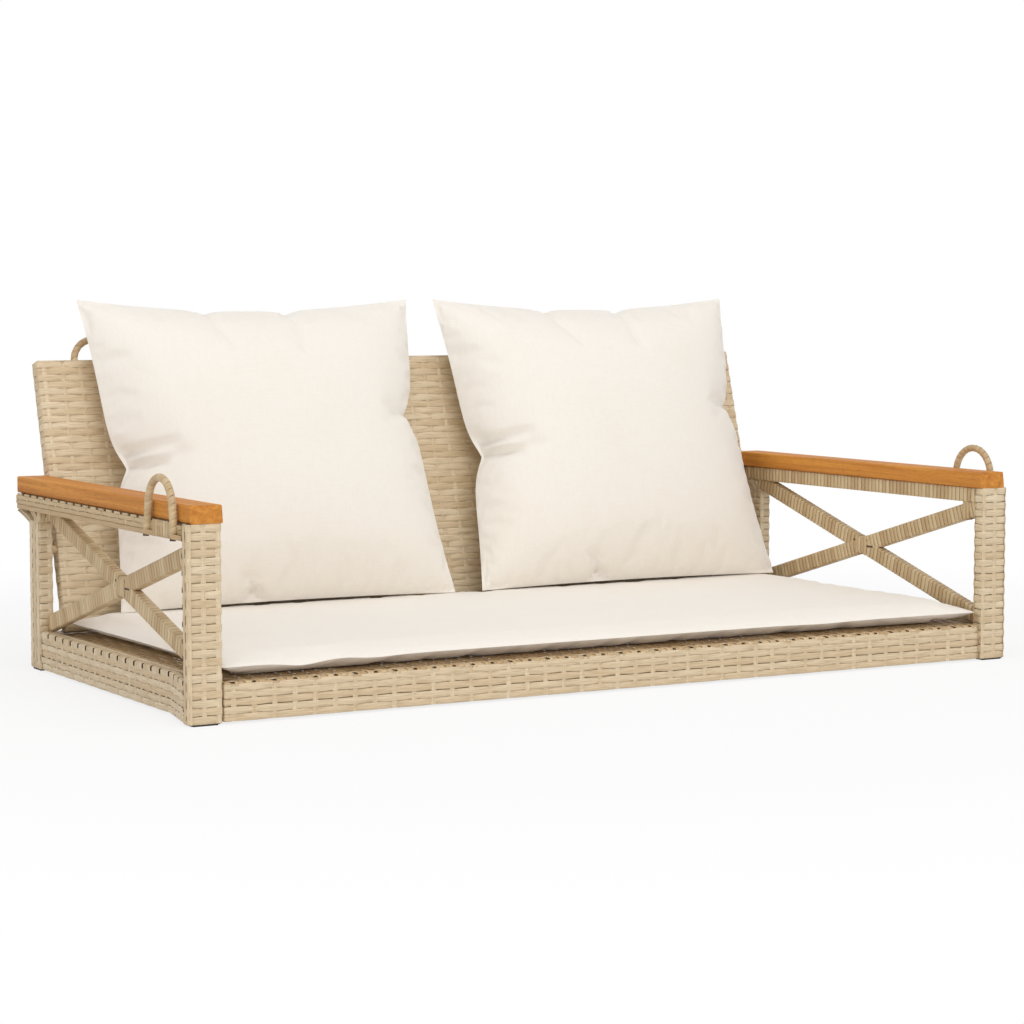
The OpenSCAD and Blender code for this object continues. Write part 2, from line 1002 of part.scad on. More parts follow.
pad_draw = [6, 7];
pad_square = [24, 10];
pad_w = 2 * (post_in - pad_side);
pad_d = back_start - pad_back - pad_front;
pad_z = seat_h + soft_gap + pad_under;
pad_cells = [32, 18];
function pad_point(i, j, thick) =
    let (u = spread(i, pad_cells[0]), v = spread(j, pad_cells[1]))
    [
        u * (pad_w / 2 - pad_draw[0] * (1 - v * v)),
        pad_front + pad_d / 2 + v * (pad_d / 2 - pad_draw[1] * (1 - pow(u, 4))),
        pad_z + thick * dome(u, v, pad_square)
    ];

module seat_cushion() {
    color(cream)
        place()
            sewn(pad_cells[0], pad_cells[1],
                [for (i = [0:pad_cells[0]]) [for (j = [0:pad_cells[1]]) pad_point(i, j, pad_over)]],
                [for (i = [0:pad_cells[0]]) [for (j = [0:pad_cells[1]]) pad_point(i, j, -pad_under)]]);
}

// Back cushion: u runs across, v up, and positive depth points to the back panel. It sits
// on its lower seam, which is drawn in less than the others
pillow_draw = [16, 14];
pillow_sit = 3.5;
pillow_square = [2.6, 2.6];
pillow_pinch = [20, 14];
pinch_width = 0.14;
pinch_fade = 6;
left_pinches = [-0.1];
right_pinches = [0.19];
top_pinches = [-0.28, 0.22];
pillow_w = post_in - (left_pillow_gap + middle_pillow_gap + right_pillow_gap) / 2;
pillow_y = back_start - pillow_foot;
pillow_z = pad_z + pad_over + soft_gap;
pillow_cells = [24, 24];

// Room for the cushion behind its seam, at a height v along it
function back_room(v) =
    let (
        s = v * pillow_h,
        y = pillow_y + s * sin(pillow_lean),
        z = pillow_z + s * cos(pillow_lean),
        face = back_start + (z - back_z) * tan(back_lean)
    )
    (face - y) * cos(back_lean) / cos(pillow_lean - back_lean) - soft_gap;

function pillow_point(i, j, thick) =
    let (
        u = spread(i, pillow_cells[0]),
        v = spread(j, pillow_cells[1]),
        side = u < 0 ? left_pinches : right_pinches,
        draw_u = pillow_draw[0] * (1 - v * v)
            + pow(abs(u), pinch_fade) * pinch(v, side, pillow_pinch[0], pinch_width),
        draw_v = v < 0
            ? pillow_sit * (1 - u * u)
            : pillow_draw[1] * (1 - u * u)
                + pow(v, pinch_fade) * pinch(u, top_pinches, pillow_pinch[1], pinch_width),
        y = v * (pillow_h / 2 - draw_v) + pillow_h / 2,
        depth = thick * dome(u, v, pillow_square)
    )
    [u * (pillow_w / 2 - draw_u), min(depth, back_room(y / pillow_h)), y];

module back_cushion() {
    color(cream)
        translate([0, pillow_y, pillow_z])
            rotate([-pillow_lean, 0, 0])
                sewn(pillow_cells[0], pillow_cells[1],
                    [for (i = [0:pillow_cells[0]]) [for (j = [0:pillow_cells[1]])
                        pillow_point(i, j, pillow_back)]],
                    [for (i = [0:pillow_cells[0]]) [for (j = [0:pillow_cells[1]])
                        pillow_point(i, j, -pillow_front)]]);
}

module left_back_cushion() {
    place()
        translate([left_pillow_gap - post_in + pillow_w / 2, 0, 0])
            back_cushion();
}

module right_back_cushion() {
    place()
        translate([post_in - right_pillow_gap - pillow_w / 2, 0, 0])
            back_cushion();
}

left_side_frame();
right_side_frame();
seat_frame();
seat_cross_bars();
back_frame();
left_front_post_weave();
right_front_post_weave();
left_rear_post_weave();
right_rear_post_weave();
left_arm_rail_weave();
right_arm_rail_weave();
left_side_apron_weave();
right_side_apron_weave();
left_rising_brace_wrap();
right_rising_brace_wrap();
left_falling_brace_wrap();
right_falling_brace_wrap();
left_brace_knot();
right_brace_knot();
front_apron_weave();
rear_apron_weave();
seat_weave();
back_weave();
back_upright_wraps();
left_armrest();
right_armrest();
left_front_loop_rod();
right_front_loop_rod();
left_rear_loop_rod();
right_rear_loop_rod();
left_front_loop_wrap();
right_front_loop_wrap();
left_rear_loop_wrap();
right_rear_loop_wrap();
frame_bolts();
bolt_washers();
spacer_bushes();
rivet_nuts();
armrest_screws();
foot_pads();
seat_cushion();
left_back_cushion();
right_back_cushion();
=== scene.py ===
"""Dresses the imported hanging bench: woven strip, oiled boards, wrapped loops and sewn cushions.

Metres, in the frame of the CAD: X runs across the bench, the front faces -Y, Z is up.
The arms are laid out on the right, and side, -1 or 1, mirrors them to the left.
"""

import json
import math
import random

import bpy
import numpy as np
from bpy.props import FloatProperty, FloatVectorProperty, IntProperty, PointerProperty
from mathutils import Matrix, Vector

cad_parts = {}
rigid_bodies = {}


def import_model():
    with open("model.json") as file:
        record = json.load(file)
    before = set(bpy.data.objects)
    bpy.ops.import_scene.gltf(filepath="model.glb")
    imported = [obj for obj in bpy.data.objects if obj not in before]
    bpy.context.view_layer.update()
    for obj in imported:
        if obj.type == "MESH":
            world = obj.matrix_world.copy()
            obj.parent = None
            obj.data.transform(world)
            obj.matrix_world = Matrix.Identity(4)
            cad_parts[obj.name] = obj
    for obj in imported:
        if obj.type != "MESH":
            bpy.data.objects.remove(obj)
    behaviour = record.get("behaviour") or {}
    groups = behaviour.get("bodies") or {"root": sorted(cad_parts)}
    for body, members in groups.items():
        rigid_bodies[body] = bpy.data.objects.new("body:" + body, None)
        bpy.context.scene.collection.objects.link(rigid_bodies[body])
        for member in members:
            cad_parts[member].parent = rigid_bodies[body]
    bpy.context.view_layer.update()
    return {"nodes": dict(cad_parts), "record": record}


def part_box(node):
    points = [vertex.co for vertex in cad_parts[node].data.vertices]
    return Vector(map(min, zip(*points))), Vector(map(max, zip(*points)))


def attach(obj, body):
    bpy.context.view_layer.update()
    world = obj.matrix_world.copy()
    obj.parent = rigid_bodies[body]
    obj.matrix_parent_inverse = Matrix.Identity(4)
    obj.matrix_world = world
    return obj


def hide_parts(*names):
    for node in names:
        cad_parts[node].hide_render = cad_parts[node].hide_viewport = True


for left_over in list(bpy.data.objects):
    bpy.data.objects.remove(left_over)
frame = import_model()

bl_info = {
    "name": "Hanging bench",
    "version": (1, 0, 0),
    "blender": (4, 5, 0),
    "location": "View3D > Sidebar > Bench",
    "description": "Builds the woven skins, boards, loops and cushions of a hanging bench",
    "category": "Object",
}

MM = 0.001
SIDES = {"left": -1, "right": 1}


def span(node):
    """Lowest and highest corner of a CAD node."""
    return [np.array(corner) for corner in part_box(node)]


# Places read from the frame, each a lowest and a highest corner
POST = span("right_front_post_weave")
REAR = span("right_rear_post_weave")
RAIL = span("right_arm_rail_weave")
SIDE_APRON = span("right_side_apron_weave")
FRONT_APRON = span("front_apron_weave")
REAR_APRON = span("rear_apron_weave")
DECK = span("seat_weave")
BACK = span("back_weave")
FRONT_LOOP = span("right_front_loop_wrap")
REAR_LOOP = span("right_rear_loop_wrap")

# Sizes of the CAD that its boxes don't give: thickness of an arm's side, length over which it
# flares out, width and thickness of a brace, and depth of the back panel. Of the loops: radius and
# splay of the middle line, half thickness, height of the feet over the underside of the rail, and
# length of a rear leg.
ARM_T = 16 * MM
FLARE = 76 * MM
BRACE_W, BRACE_T = 21 * MM, 12 * MM
BACK_DEPTH = 17.5 * MM
FRONT_LOOP_RADIUS, REAR_LOOP_RADIUS = 36 * MM, 30 * MM
LOOP_SPLAY = math.radians(7)
LOOP_HALF = 4.75 * MM
LOOP_FOOT = 5 * MM
REAR_LOOP_LEG = 4 * MM

# Sizes of the woven work: pitch of the rows of a post, number of rows of an apron, how uneven rows
# are, width of a strip across the rows, pitch of the short strips that close an edge, width of the
# turns that tie braces, and distance between the points of a turn
POST_ROW = 9.7 * MM
APRON_ROWS = 5
UNEVEN = 0.25 * MM
STAKE_W = 7 * MM
SHORT_PITCH = 8.4 * MM
TIE_W = 6.2 * MM
TURN_STEP = 7 * MM


def linear(code):
    """Linear colour of an sRGB hex code such as "C8B08A"."""
    values = [int(code[i:i + 2], 16) / 255 for i in (0, 2, 4)]
    return [v / 12.92 if v <= 0.04045 else ((v + 0.055) / 1.055) ** 2.4 for v in values]


def tint(name, description, code):
    """A colour that a user can change."""
    return FloatVectorProperty(name=name, description=description, subtype="COLOR", size=3,
                               default=linear(code), min=0.0, max=1.0)


class Sizes(bpy.types.PropertyGroup):
    """Sizes of the woven work and of the padding"""

    strip_t: FloatProperty(
        name="Strip thickness", description="Thickness of one flat plastic strip",
        default=0.9 * MM, unit="LENGTH",
    )
    wave: FloatProperty(
        name="Wave", description="How far a strip swings in and out round the stakes",
        default=0.5 * MM, unit="LENGTH",
    )
    row: FloatProperty(
        name="Row pitch", description="Distance between rows of the back",
        default=9.2 * MM, unit="LENGTH",
    )
    stake: FloatProperty(
        name="Stake pitch", description="Distance between the strips across the rows of the wide panels",
        default=26 * MM, unit="LENGTH",
    )
    wrap: FloatProperty(
        name="Wrap pitch", description="Distance between turns of the wrapping on braces and rails",
        default=8.0 * MM, unit="LENGTH",
    )
    loop_wrap: FloatProperty(
        name="Loop wrap pitch", description="Distance between turns of the wrapping on the loops",
        default=8.6 * MM, unit="LENGTH",
    )
    lean: FloatProperty(
        name="Lean of the back", description="Angle of the back panel from the vertical",
        default=math.radians(16), subtype="ANGLE",
    )
    pillow_lean: FloatProperty(
        name="Lean of the back cushions", description="Angle of a back cushion from the vertical",
        default=math.radians(20), subtype="ANGLE",
    )
    pillow_w: FloatProperty(
        name="Width of a back cushion", description="From corner to corner, along its lower seam",
        default=490 * MM, unit="LENGTH",
    )
    pillow_h: FloatProperty(
        name="Height of a back cushion", description="From corner to corner, up its side seam",
        default=427 * MM, unit="LENGTH",
    )
    fold: FloatProperty(
        name="Depth of the folds", description="How deep the folds are where the filling is gathered",
        default=19 * MM, unit="LENGTH",
    )
    cloth_cells: IntProperty(
        name="Cells of the covers", description="Cells across each cushion cover",
        default=112, min=40, max=200,
    )


class Colours(bpy.types.PropertyGroup):
    """Colours of the finishes"""

    straw: tint("Straw", "Lightest strip of the weave", "E3D1B2")
    straw_deep: tint("Straw, deep", "Darkest strip of the weave", "D3BB97")
    wound: tint("Wound strip", "Lightest strip on rails, braces and loops", "D8C29A")
    wound_deep: tint("Wound strip, deep", "Darkest strip on rails, braces and loops", "BC9E74")
    deck: tint("Seat strip", "Lightest strip of the seat", "D9BF97")
    deck_deep: tint("Seat strip, deep", "Darkest strip of the seat", "B8996F")
    line: tint("Drawn lines", "Fine lines along a strip", "9C8058")
    # Painted shade: this near-black strip, laid behind or over slots, notches and holes, stands in for
    # the shade inside them
    shade: tint("Inner strip", "Strip inside the edges, seen only through slots", "43301F")
    wood: tint("Wood", "Light bands of the armrests", "D6923F")
    wood_deep: tint("Wood, deep", "Dark bands of the armrests", "B26C28")
    cloth: tint("Cover", "Covers of the cushions", "F1EBE2")
    cloth_deep: tint("Cover, deep", "Slub of the covers", "E8DCCB")


# Materials. The scale of a noise is one over the size of its pattern in metres.
def solid(colour):
    """Four values of a colour, for a shader."""
    return [*colour, 1.0]


def add(tree, kind, values=None, links=None, **settings):
    """Adds a node, sets it up and links what feeds it."""
    node = tree.nodes.new(kind)
    for name, value in settings.items():
        setattr(node, name, value)
    for socket, value in (values or {}).items():
        node.inputs[socket].default_value = value
    for socket, source in (links or {}).items():
        tree.links.new(source, node.inputs[socket])
    return node


def finish_named(name):
    """A new material with its shader, ready for its nodes."""
    material = bpy.data.materials.new(name)
    material.use_nodes = True
    tree = material.node_tree
    return material, tree, tree.nodes["Principled BSDF"]


def strip_finish(name, light, dark, deep, roughness):
    """Polyethylene strip, extruded flat with fine drawn lines: a satin skin, each length its own tone."""
    material, tree, shader = finish_named(name)
    tone = add(tree, "ShaderNodeAttribute", attribute_name="tone")
    place = add(tree, "ShaderNodeUVMap", uv_map="strip")
    # Lines run along the strip: about 1.2 mm apart across it and 30 mm long
    lines_at = add(tree, "ShaderNodeMapping", {"Scale": (33, 830, 1)}, {"Vector": place.outputs["UV"]})
    lines = add(tree, "ShaderNodeTexNoise", {"Scale": 1.0, "Detail": 3.0, "Roughness": 0.6},
                {"Vector": lines_at.outputs["Vector"]}, noise_dimensions="2D")
    # Worn patches about 70 mm across
    cloud_at = add(tree, "ShaderNodeTexCoord")
    cloud = add(tree, "ShaderNodeTexNoise", {"Scale": 14.0, "Detail": 2.0},
                {"Vector": cloud_at.outputs["Object"]})
    base = add(tree, "ShaderNodeMix", {"A": solid(light), "B": solid(dark)},
               {"Factor": tone.outputs["Fac"]}, data_type="RGBA")
    streak = add(tree, "ShaderNodeMapRange", {"From Min": 0.42, "From Max": 0.72, "To Max": 0.5},
                 {"Value": lines.outputs["Fac"]})
    lined = add(tree, "ShaderNodeMix", {"B": solid(deep)},
                {"Factor": streak.outputs["Result"], "A": base.outputs["Result"]}, data_type="RGBA")
    patch = add(tree, "ShaderNodeMapRange", {"From Min": 0.5, "From Max": 0.8, "To Max": 0.25},
                {"Value": cloud.outputs["Fac"]})
    worn = add(tree, "ShaderNodeMix", {"B": solid(dark)},
               {"Factor": patch.outputs["Result"], "A": lined.outputs["Result"]}, data_type="RGBA")
    tree.links.new(worn.outputs["Result"], shader.inputs["Base Color"])
    rough = add(tree, "ShaderNodeMapRange", {"To Min": roughness - 0.08, "To Max": roughness + 0.1},
                {"Value": lines.outputs["Fac"]})
    tree.links.new(rough.outputs["Result"], shader.inputs["Roughness"])
    bump = add(tree, "ShaderNodeBump", {"Strength": 0.35, "Distance": 0.25 * MM},
               {"Height": lines.outputs["Fac"]})
    tree.links.new(bump.outputs["Normal"], shader.inputs["Normal"])
    shader.inputs["IOR"].default_value = 1.5
    return material


def wood_finish(name, light, dark, pore):
    """Acacia, planed and oiled: warm brown with long darker bands and short open pores."""
    material, tree, shader = finish_named(name)
    place = add(tree, "ShaderNodeTexCoord")
    # Bands 5 to 8 mm apart that run the whole board, with a slow drift
    bands_at = add(tree, "ShaderNodeMapping", {"Scale": (120, 4, 150)},
                   {"Vector": place.outputs["Object"]})
    bands = add(tree, "ShaderNodeTexNoise", {"Scale": 1.0, "Detail": 4.0, "Distortion": 0.6},
                {"Vector": bands_at.outputs["Vector"]})
    # Pores 0.8 mm apart and about 12 mm long
    pores_at = add(tree, "ShaderNodeMapping", {"Scale": (1200, 80, 1200)},
                   {"Vector": place.outputs["Object"]})
    pores = add(tree, "ShaderNodeTexNoise", {"Scale": 1.0, "Detail": 2.0},
                {"Vector": pores_at.outputs["Vector"]})
    colour = add(tree, "ShaderNodeValToRGB", links={"Fac": bands.outputs["Fac"]})
    stops = colour.color_ramp.elements
    stops[0].position, stops[0].color = 0.3, solid(dark)
    stops[1].position, stops[1].color = 0.66, solid(light)
    open_pores = add(tree, "ShaderNodeMapRange", {"From Min": 0.56, "From Max": 0.72, "To Max": 0.45},
                     {"Value": pores.outputs["Fac"]})
    wood = add(tree, "ShaderNodeMix", {"B": solid(pore)},
               {"Factor": open_pores.outputs["Result"], "A": colour.outputs["Color"]},
               data_type="RGBA")
    tree.links.new(wood.outputs["Result"], shader.inputs["Base Color"])
    bump = add(tree, "ShaderNodeBump", {"Strength": 0.25, "Distance": 0.2 * MM},
               {"Height": pores.outputs["Fac"]})
    tree.links.new(bump.outputs["Normal"], shader.inputs["Normal"])
    shader.inputs["Roughness"].default_value = 0.6
    shader.inputs["IOR"].default_value = 1.5
    shader.inputs["Specular IOR Level"].default_value = 0.25
    return material


def cloth_finish(name, light, shade):
    """Polyester cover, plain woven and washed: matt, off-white, with a slub in both directions."""
    material, tree, shader = finish_named(name)
    place = add(tree, "ShaderNodeTexCoord")
    # Threads are 0.5 mm apart, too fine for the render, so the slub is drawn 1.6 mm apart
    across_at = add(tree, "ShaderNodeMapping", {"Scale": (620, 60, 60)},
                    {"Vector": place.outputs["Object"]})
    across = add(tree, "ShaderNodeTexNoise", {"Scale": 1.0, "Detail": 2.0},
                 {"Vector": across_at.outputs["Vector"]})
    along_at = add(tree, "ShaderNodeMapping", {"Scale": (60, 620, 620)},
                   {"Vector": place.outputs["Object"]})
    along = add(tree, "ShaderNodeTexNoise", {"Scale": 1.0, "Detail": 2.0},
                {"Vector": along_at.outputs["Vector"]})
    slub = add(tree, "ShaderNodeMath", links={0: across.outputs["Fac"], 1: along.outputs["Fac"]},
               operation="ADD")
    # Clouds about 110 mm across
    cloud = add(tree, "ShaderNodeTexNoise", {"Scale": 9.0, "Detail": 3.0},
                {"Vector": place.outputs["Object"]})
    amount = add(tree, "ShaderNodeMapRange",
                 {"From Min": 0.85, "From Max": 1.25, "To Max": 0.22}, {"Value": slub.outputs["Value"]})
    base = add(tree, "ShaderNodeMix", {"A": solid(light), "B": solid(shade)},
               {"Factor": amount.outputs["Result"]}, data_type="RGBA")
    soft = add(tree, "ShaderNodeMapRange",
               {"From Min": 0.5, "From Max": 0.75, "To Max": 0.12}, {"Value": cloud.outputs["Fac"]})
    cloth = add(tree, "ShaderNodeMix", {"B": solid(shade)},
                {"Factor": soft.outputs["Result"], "A": base.outputs["Result"]}, data_type="RGBA")
    tree.links.new(cloth.outputs["Result"], shader.inputs["Base Color"])
    bump = add(tree, "ShaderNodeBump", {"Strength": 0.15, "Distance": 0.3 * MM},
               {"Height": slub.outputs["Value"]})
    tree.links.new(bump.outputs["Normal"], shader.inputs["Normal"])
    shader.inputs["Roughness"].default_value = 0.9
    shader.inputs["Sheen Weight"].default_value = 0.25
    shader.inputs["Sheen Roughness"].default_value = 0.5
    return material


def grained_finish(name, colour, worn, metallic, roughness):
    """Coated or plated steel, or moulded plastic: even, with a grain of about 1 mm in colour and skin."""
    material, tree, shader = finish_named(name)
    place = add(tree, "ShaderNodeTexCoord")
    grain = add(tree, "ShaderNodeTexNoise", {"Scale": 900.0, "Detail": 3.0},
                {"Vector": place.outputs["Object"]})
    base = add(tree, "ShaderNodeMix", {"A": solid(colour), "B": solid(worn)},
               {"Factor": grain.outputs["Fac"]}, data_type="RGBA")
    tree.links.new(base.outputs["Result"], shader.inputs["Base Color"])
    bump = add(tree, "ShaderNodeBump", {"Strength": 0.3, "Distance": 0.1 * MM},
               {"Height": grain.outputs["Fac"]})
    tree.links.new(bump.outputs["Normal"], shader.inputs["Normal"])
    shader.inputs["Metallic"].default_value = metallic
    shader.inputs["Roughness"].default_value = roughness
    return material


# Strips. The outline of a strip goes across it from -1 to 1, and through it from -1 to 1.
OUTLINE = np.array([(-1.0, -0.5), (-0.88, 0.55), (0.0, 1.0), (0.88, 0.55), (1.0, -0.5), (0.0, -1.0)])


def unit(vectors):
    """Vectors brought to length 1."""
    return vectors / np.maximum(np.linalg.norm(vectors, axis=-1, keepdims=True), 1e-12)


def line_of(x, y, z):
    """Points of a line. A single number holds for all of them."""
    return np.stack(np.broadcast_arrays(x, y, z), axis=-1)


def marks_of(points):
    """Length from the first point of a line to each of its points."""
    return np.concatenate([[0], np.cumsum(np.linalg.norm(np.diff(points, axis=0), axis=1))])


def rectangle(low, high):
    """Corners of a rectangle, counter-clockwise from the lowest."""
    return [(low[0], low[1]), (high[0], low[1]), (high[0], high[1]), (low[0], high[1])]


class StripWork:
    """Gathers strips and makes one mesh of them."""

    def __init__(self, name, seed, sizes):
        self.name, self.sizes = name, sizes
        self.draw = random.Random(seed)
        self.points, self.faces, self.uvs, self.tones, self.kinds = [], [], [], [], []
        self.ends, self.end_kinds = [], []
        self.count = 0

    def lay(self, middle, out, width, kind=0, closed=False, thick=None):
        """Lays one strip along the points of its middle line, with its face towards out."""
        middle = np.asarray(middle, float)
        out = unit(np.broadcast_to(np.asarray(out, float), middle.shape))
        if closed:
            along = np.roll(middle, -1, axis=0) - np.roll(middle, 1, axis=0)
        else:
            along = np.gradient(middle, axis=0)
        along = unit(along)
        side = unit(np.cross(out, along))
        out = np.cross(along, side)
        total, sides = len(middle), len(OUTLINE)
        width = np.broadcast_to(width, (total,))
        thick = thick or self.sizes.strip_t
        rings = (middle[:, None, :]
                 + side[:, None, :] * (OUTLINE[None, :, :1] * width[:, None, None] / 2)
                 + out[:, None, :] * (OUTLINE[None, :, 1:] * thick / 2))
        reach = marks_of(np.vstack([middle, middle[:1]])) + self.draw.uniform(0, 9)
        tone = self.draw.random()
        across = OUTLINE[:, 0] * width.mean() / 2 + self.draw.uniform(0, 5)
        self.add_faces(total, total if closed else total - 1, reach, across, kind)
        if not closed:
            first_ring = self.count + np.arange(sides)
            self.ends += [first_ring[::-1].tolist(), (first_ring + (total - 1) * sides).tolist()]
            self.end_kinds += [kind, kind]
        self.points.append(rings.reshape(-1, 3))
        self.tones.append(np.full(total * sides, tone))
        self.count += total * sides

    def add_faces(self, total, bands, reach, across, kind):
        """Faces between the rings of the strip, with their places along and across it."""
        sides = len(OUTLINE)
        first, at = np.arange(bands)[:, None], np.arange(sides)[None, :]
        second, after = (first + 1) % total, (at + 1) % sides
        quads = np.stack([first * sides + at, second * sides + at,
                          second * sides + after, first * sides + after], axis=-1)
        self.faces.append(quads.reshape(-1, 4) + self.count)
        self.kinds.append(np.full(bands * sides, kind))
        u0, u1, v0, v1 = reach[:-1], reach[1:], across, np.roll(across, -1)
        u = np.stack([u0, u1, u1, u0], -1)[:bands, None]
        v = np.stack([v0, v0, v1, v1], -1)[None]
        self.uvs.append(np.stack(np.broadcast_arrays(u, v), -1).reshape(-1, 2))

    def make(self, *materials):
        """Makes the object. A strip takes the material of its kind."""
        mesh = bpy.data.meshes.new(self.name)
        mesh.from_pydata(np.vstack(self.points).tolist(), [], np.vstack(self.faces).tolist() + self.ends)
        uv = mesh.uv_layers.new(name="strip")
        coords = np.vstack(self.uvs + [np.zeros((len(self.ends) * len(OUTLINE), 2))])
        uv.data.foreach_set("uv", coords.astype(np.float32).ravel())
        tone = mesh.attributes.new("tone", "FLOAT", "POINT")
        tone.data.foreach_set("value", np.concatenate(self.tones).astype(np.float32))
        mesh.polygons.foreach_set("use_smooth", np.ones(len(mesh.polygons), bool))
        for material in materials:
            mesh.materials.append(material)
        kinds = np.concatenate(self.kinds + [np.array(self.end_kinds, int)]).astype(np.int32)
        mesh.polygons.foreach_set("material_index", kinds)
        piece = bpy.data.objects.new(self.name, mesh)
        bpy.context.scene.collection.objects.link(piece)
        return piece


def rounded(corners, radius, closed, turn=3):
    """Points of a path through corners whose bends are rounded."""
    corners = [np.array(corner, float) for corner in corners]
    path, total = [], len(corners)
    for i, corner in enumerate(corners):
        if not closed and i in (0, total - 1):
            path.append(corner)
            continue
        before, after = corners[i - 1] - corner, corners[(i + 1) % total] - corner
        angle = math.acos(np.clip(unit(before) @ unit(after), -1, 1))
        back = min(radius / max(math.tan(angle / 2), 1e-6),
                   0.45 * np.linalg.norm(before), 0.45 * np.linalg.norm(after))
        for t in np.linspace(0, 1, turn + 1):
            path.append((1 - t) ** 2 * (corner + unit(before) * back) + 2 * t * (1 - t) * corner
                        + t ** 2 * (corner + unit(after) * back))
    return np.array(path)


class Path:
    """A plane path that can be read at any length, with its outward normal."""

    def __init__(self, corners, radius=2 * MM, closed=True):
        points = rounded(corners, radius, closed)
        self.closed = closed
        self.points = np.vstack([points, points[:1]]) if closed else points
        self.marks = marks_of(self.points)
        self.length = self.marks[-1]

    def at(self, u):
        """Places at lengths along the path."""
        u = np.mod(u, self.length) if self.closed else u
        return np.stack([np.interp(u, self.marks, self.points[:, k]) for k in (0, 1)], -1)

    def normal(self, u, reach=0.6 * MM):
        """Outward normals there, smoothed over a short reach."""
        ends = np.stack([u - reach, u + reach])
        if not self.closed:
            ends = np.clip(ends, 0, self.length)
        along = unit(self.at(ends[1]) - self.at(ends[0]))
        return np.stack([along[..., 1], -along[..., 0]], -1)


def sleeve(path, lift):
    """Surface over a path: u runs along it, v across the rows, and n stands out from it."""
    def surface(u, v, n):
        u, v, n = np.broadcast_arrays(u, v, n)
        return lift(path.at(u) + path.normal(u) * n[..., None], v)
    return surface


def lift_side(side):
    """A path in plan, raised to a height, on the left or right."""
    def lift(flat, v):
        return line_of(flat[..., 0] * side, flat[..., 1], v)
    return lift


def sample(path, pitch, per_pitch, bend=2.5 * MM, close=0.3 * MM):
    """Lengths at which a strip has points: evenly, and at each bend, but none too close together."""
    steps = max(2, round(path.length / pitch * per_pitch))
    even = np.linspace(0, path.length, steps + 1)
    short = np.diff(path.marks) < bend
    marks = np.unique(np.round(np.concatenate([even, path.marks[:-1][short], path.marks[1:][short]]), 6))
    keep = [marks[0]]
    for mark in marks[1:]:
        if mark - keep[-1] > close:
            keep.append(mark)
    keep = np.array(keep)
    return keep[keep < path.length - close] if path.closed else keep


def weave(work, path, lift, height, rows, stakes, v0=0.0, fine=4, shift=0.5, share=0.98,
          stake_width=STAKE_W, flat=1.0, trim=None):
    """Plain weave: rows along the path, stakes across it, each over and under in turn.

    A row covers a share of its pitch and has fine points from stake to stake. Shift moves the stakes
    along by a part of their pitch, flat scales the wave, and trim says how far from each end of the
    path a row stops.
    """
    pitch_v, pitch_u = height / rows, path.length / stakes
    surface = sleeve(path, lift)
    swing = work.sizes.wave * flat
    step, margin = 0.2 * MM, 0.3 * MM
    every = sample(path, pitch_u, fine)
    for i in range(rows):
        marks = every[(every >= trim(i)) & (every <= path.length - trim(i))] if trim else every
        sign = 1 if i % 2 else -1
        v = v0 + (i + 0.5) * pitch_v + work.draw.uniform(-UNEVEN, UNEVEN)
        n = swing * sign * np.clip(1.5 * np.cos(np.pi * (marks / pitch_u - shift)), -1, 1)
        middle = surface(marks, v, n)
        work.lay(middle, surface(marks, v, n + step) - middle, pitch_v * share, closed=path.closed)
    heights = np.linspace(v0, v0 + height, 2 * rows + 1)
    heights = np.clip(heights, v0 + margin, v0 + height - margin)
    for j in range(stakes):
        sign = 1 if j % 2 else -1
        u = (j + shift) * pitch_u
        n = swing * sign * np.cos(np.pi * ((heights - v0) / pitch_v - 0.5))
        middle = surface(u, heights, n)
        work.lay(middle, surface(u, heights, n + step) - middle, stake_width)


def turn(work, path, side, x, y, width, step=TURN_STEP):
    """One turn of strip, square to the bench's depth, at y. The path is in x and z."""
    marks = sample(path, step, 1)
    flat, face = path.at(marks), path.normal(marks)
    middle = line_of((x + flat[:, 0]) * side, y, flat[:, 1])
    work.lay(middle, line_of(face[:, 0] * side, 0.0, face[:, 1]), width, closed=path.closed)


def put(piece, *nodes):
    """A new piece of the bench that stands for CAD nodes."""
    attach(piece, "bench")
    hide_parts(*nodes)


FINISH = {}


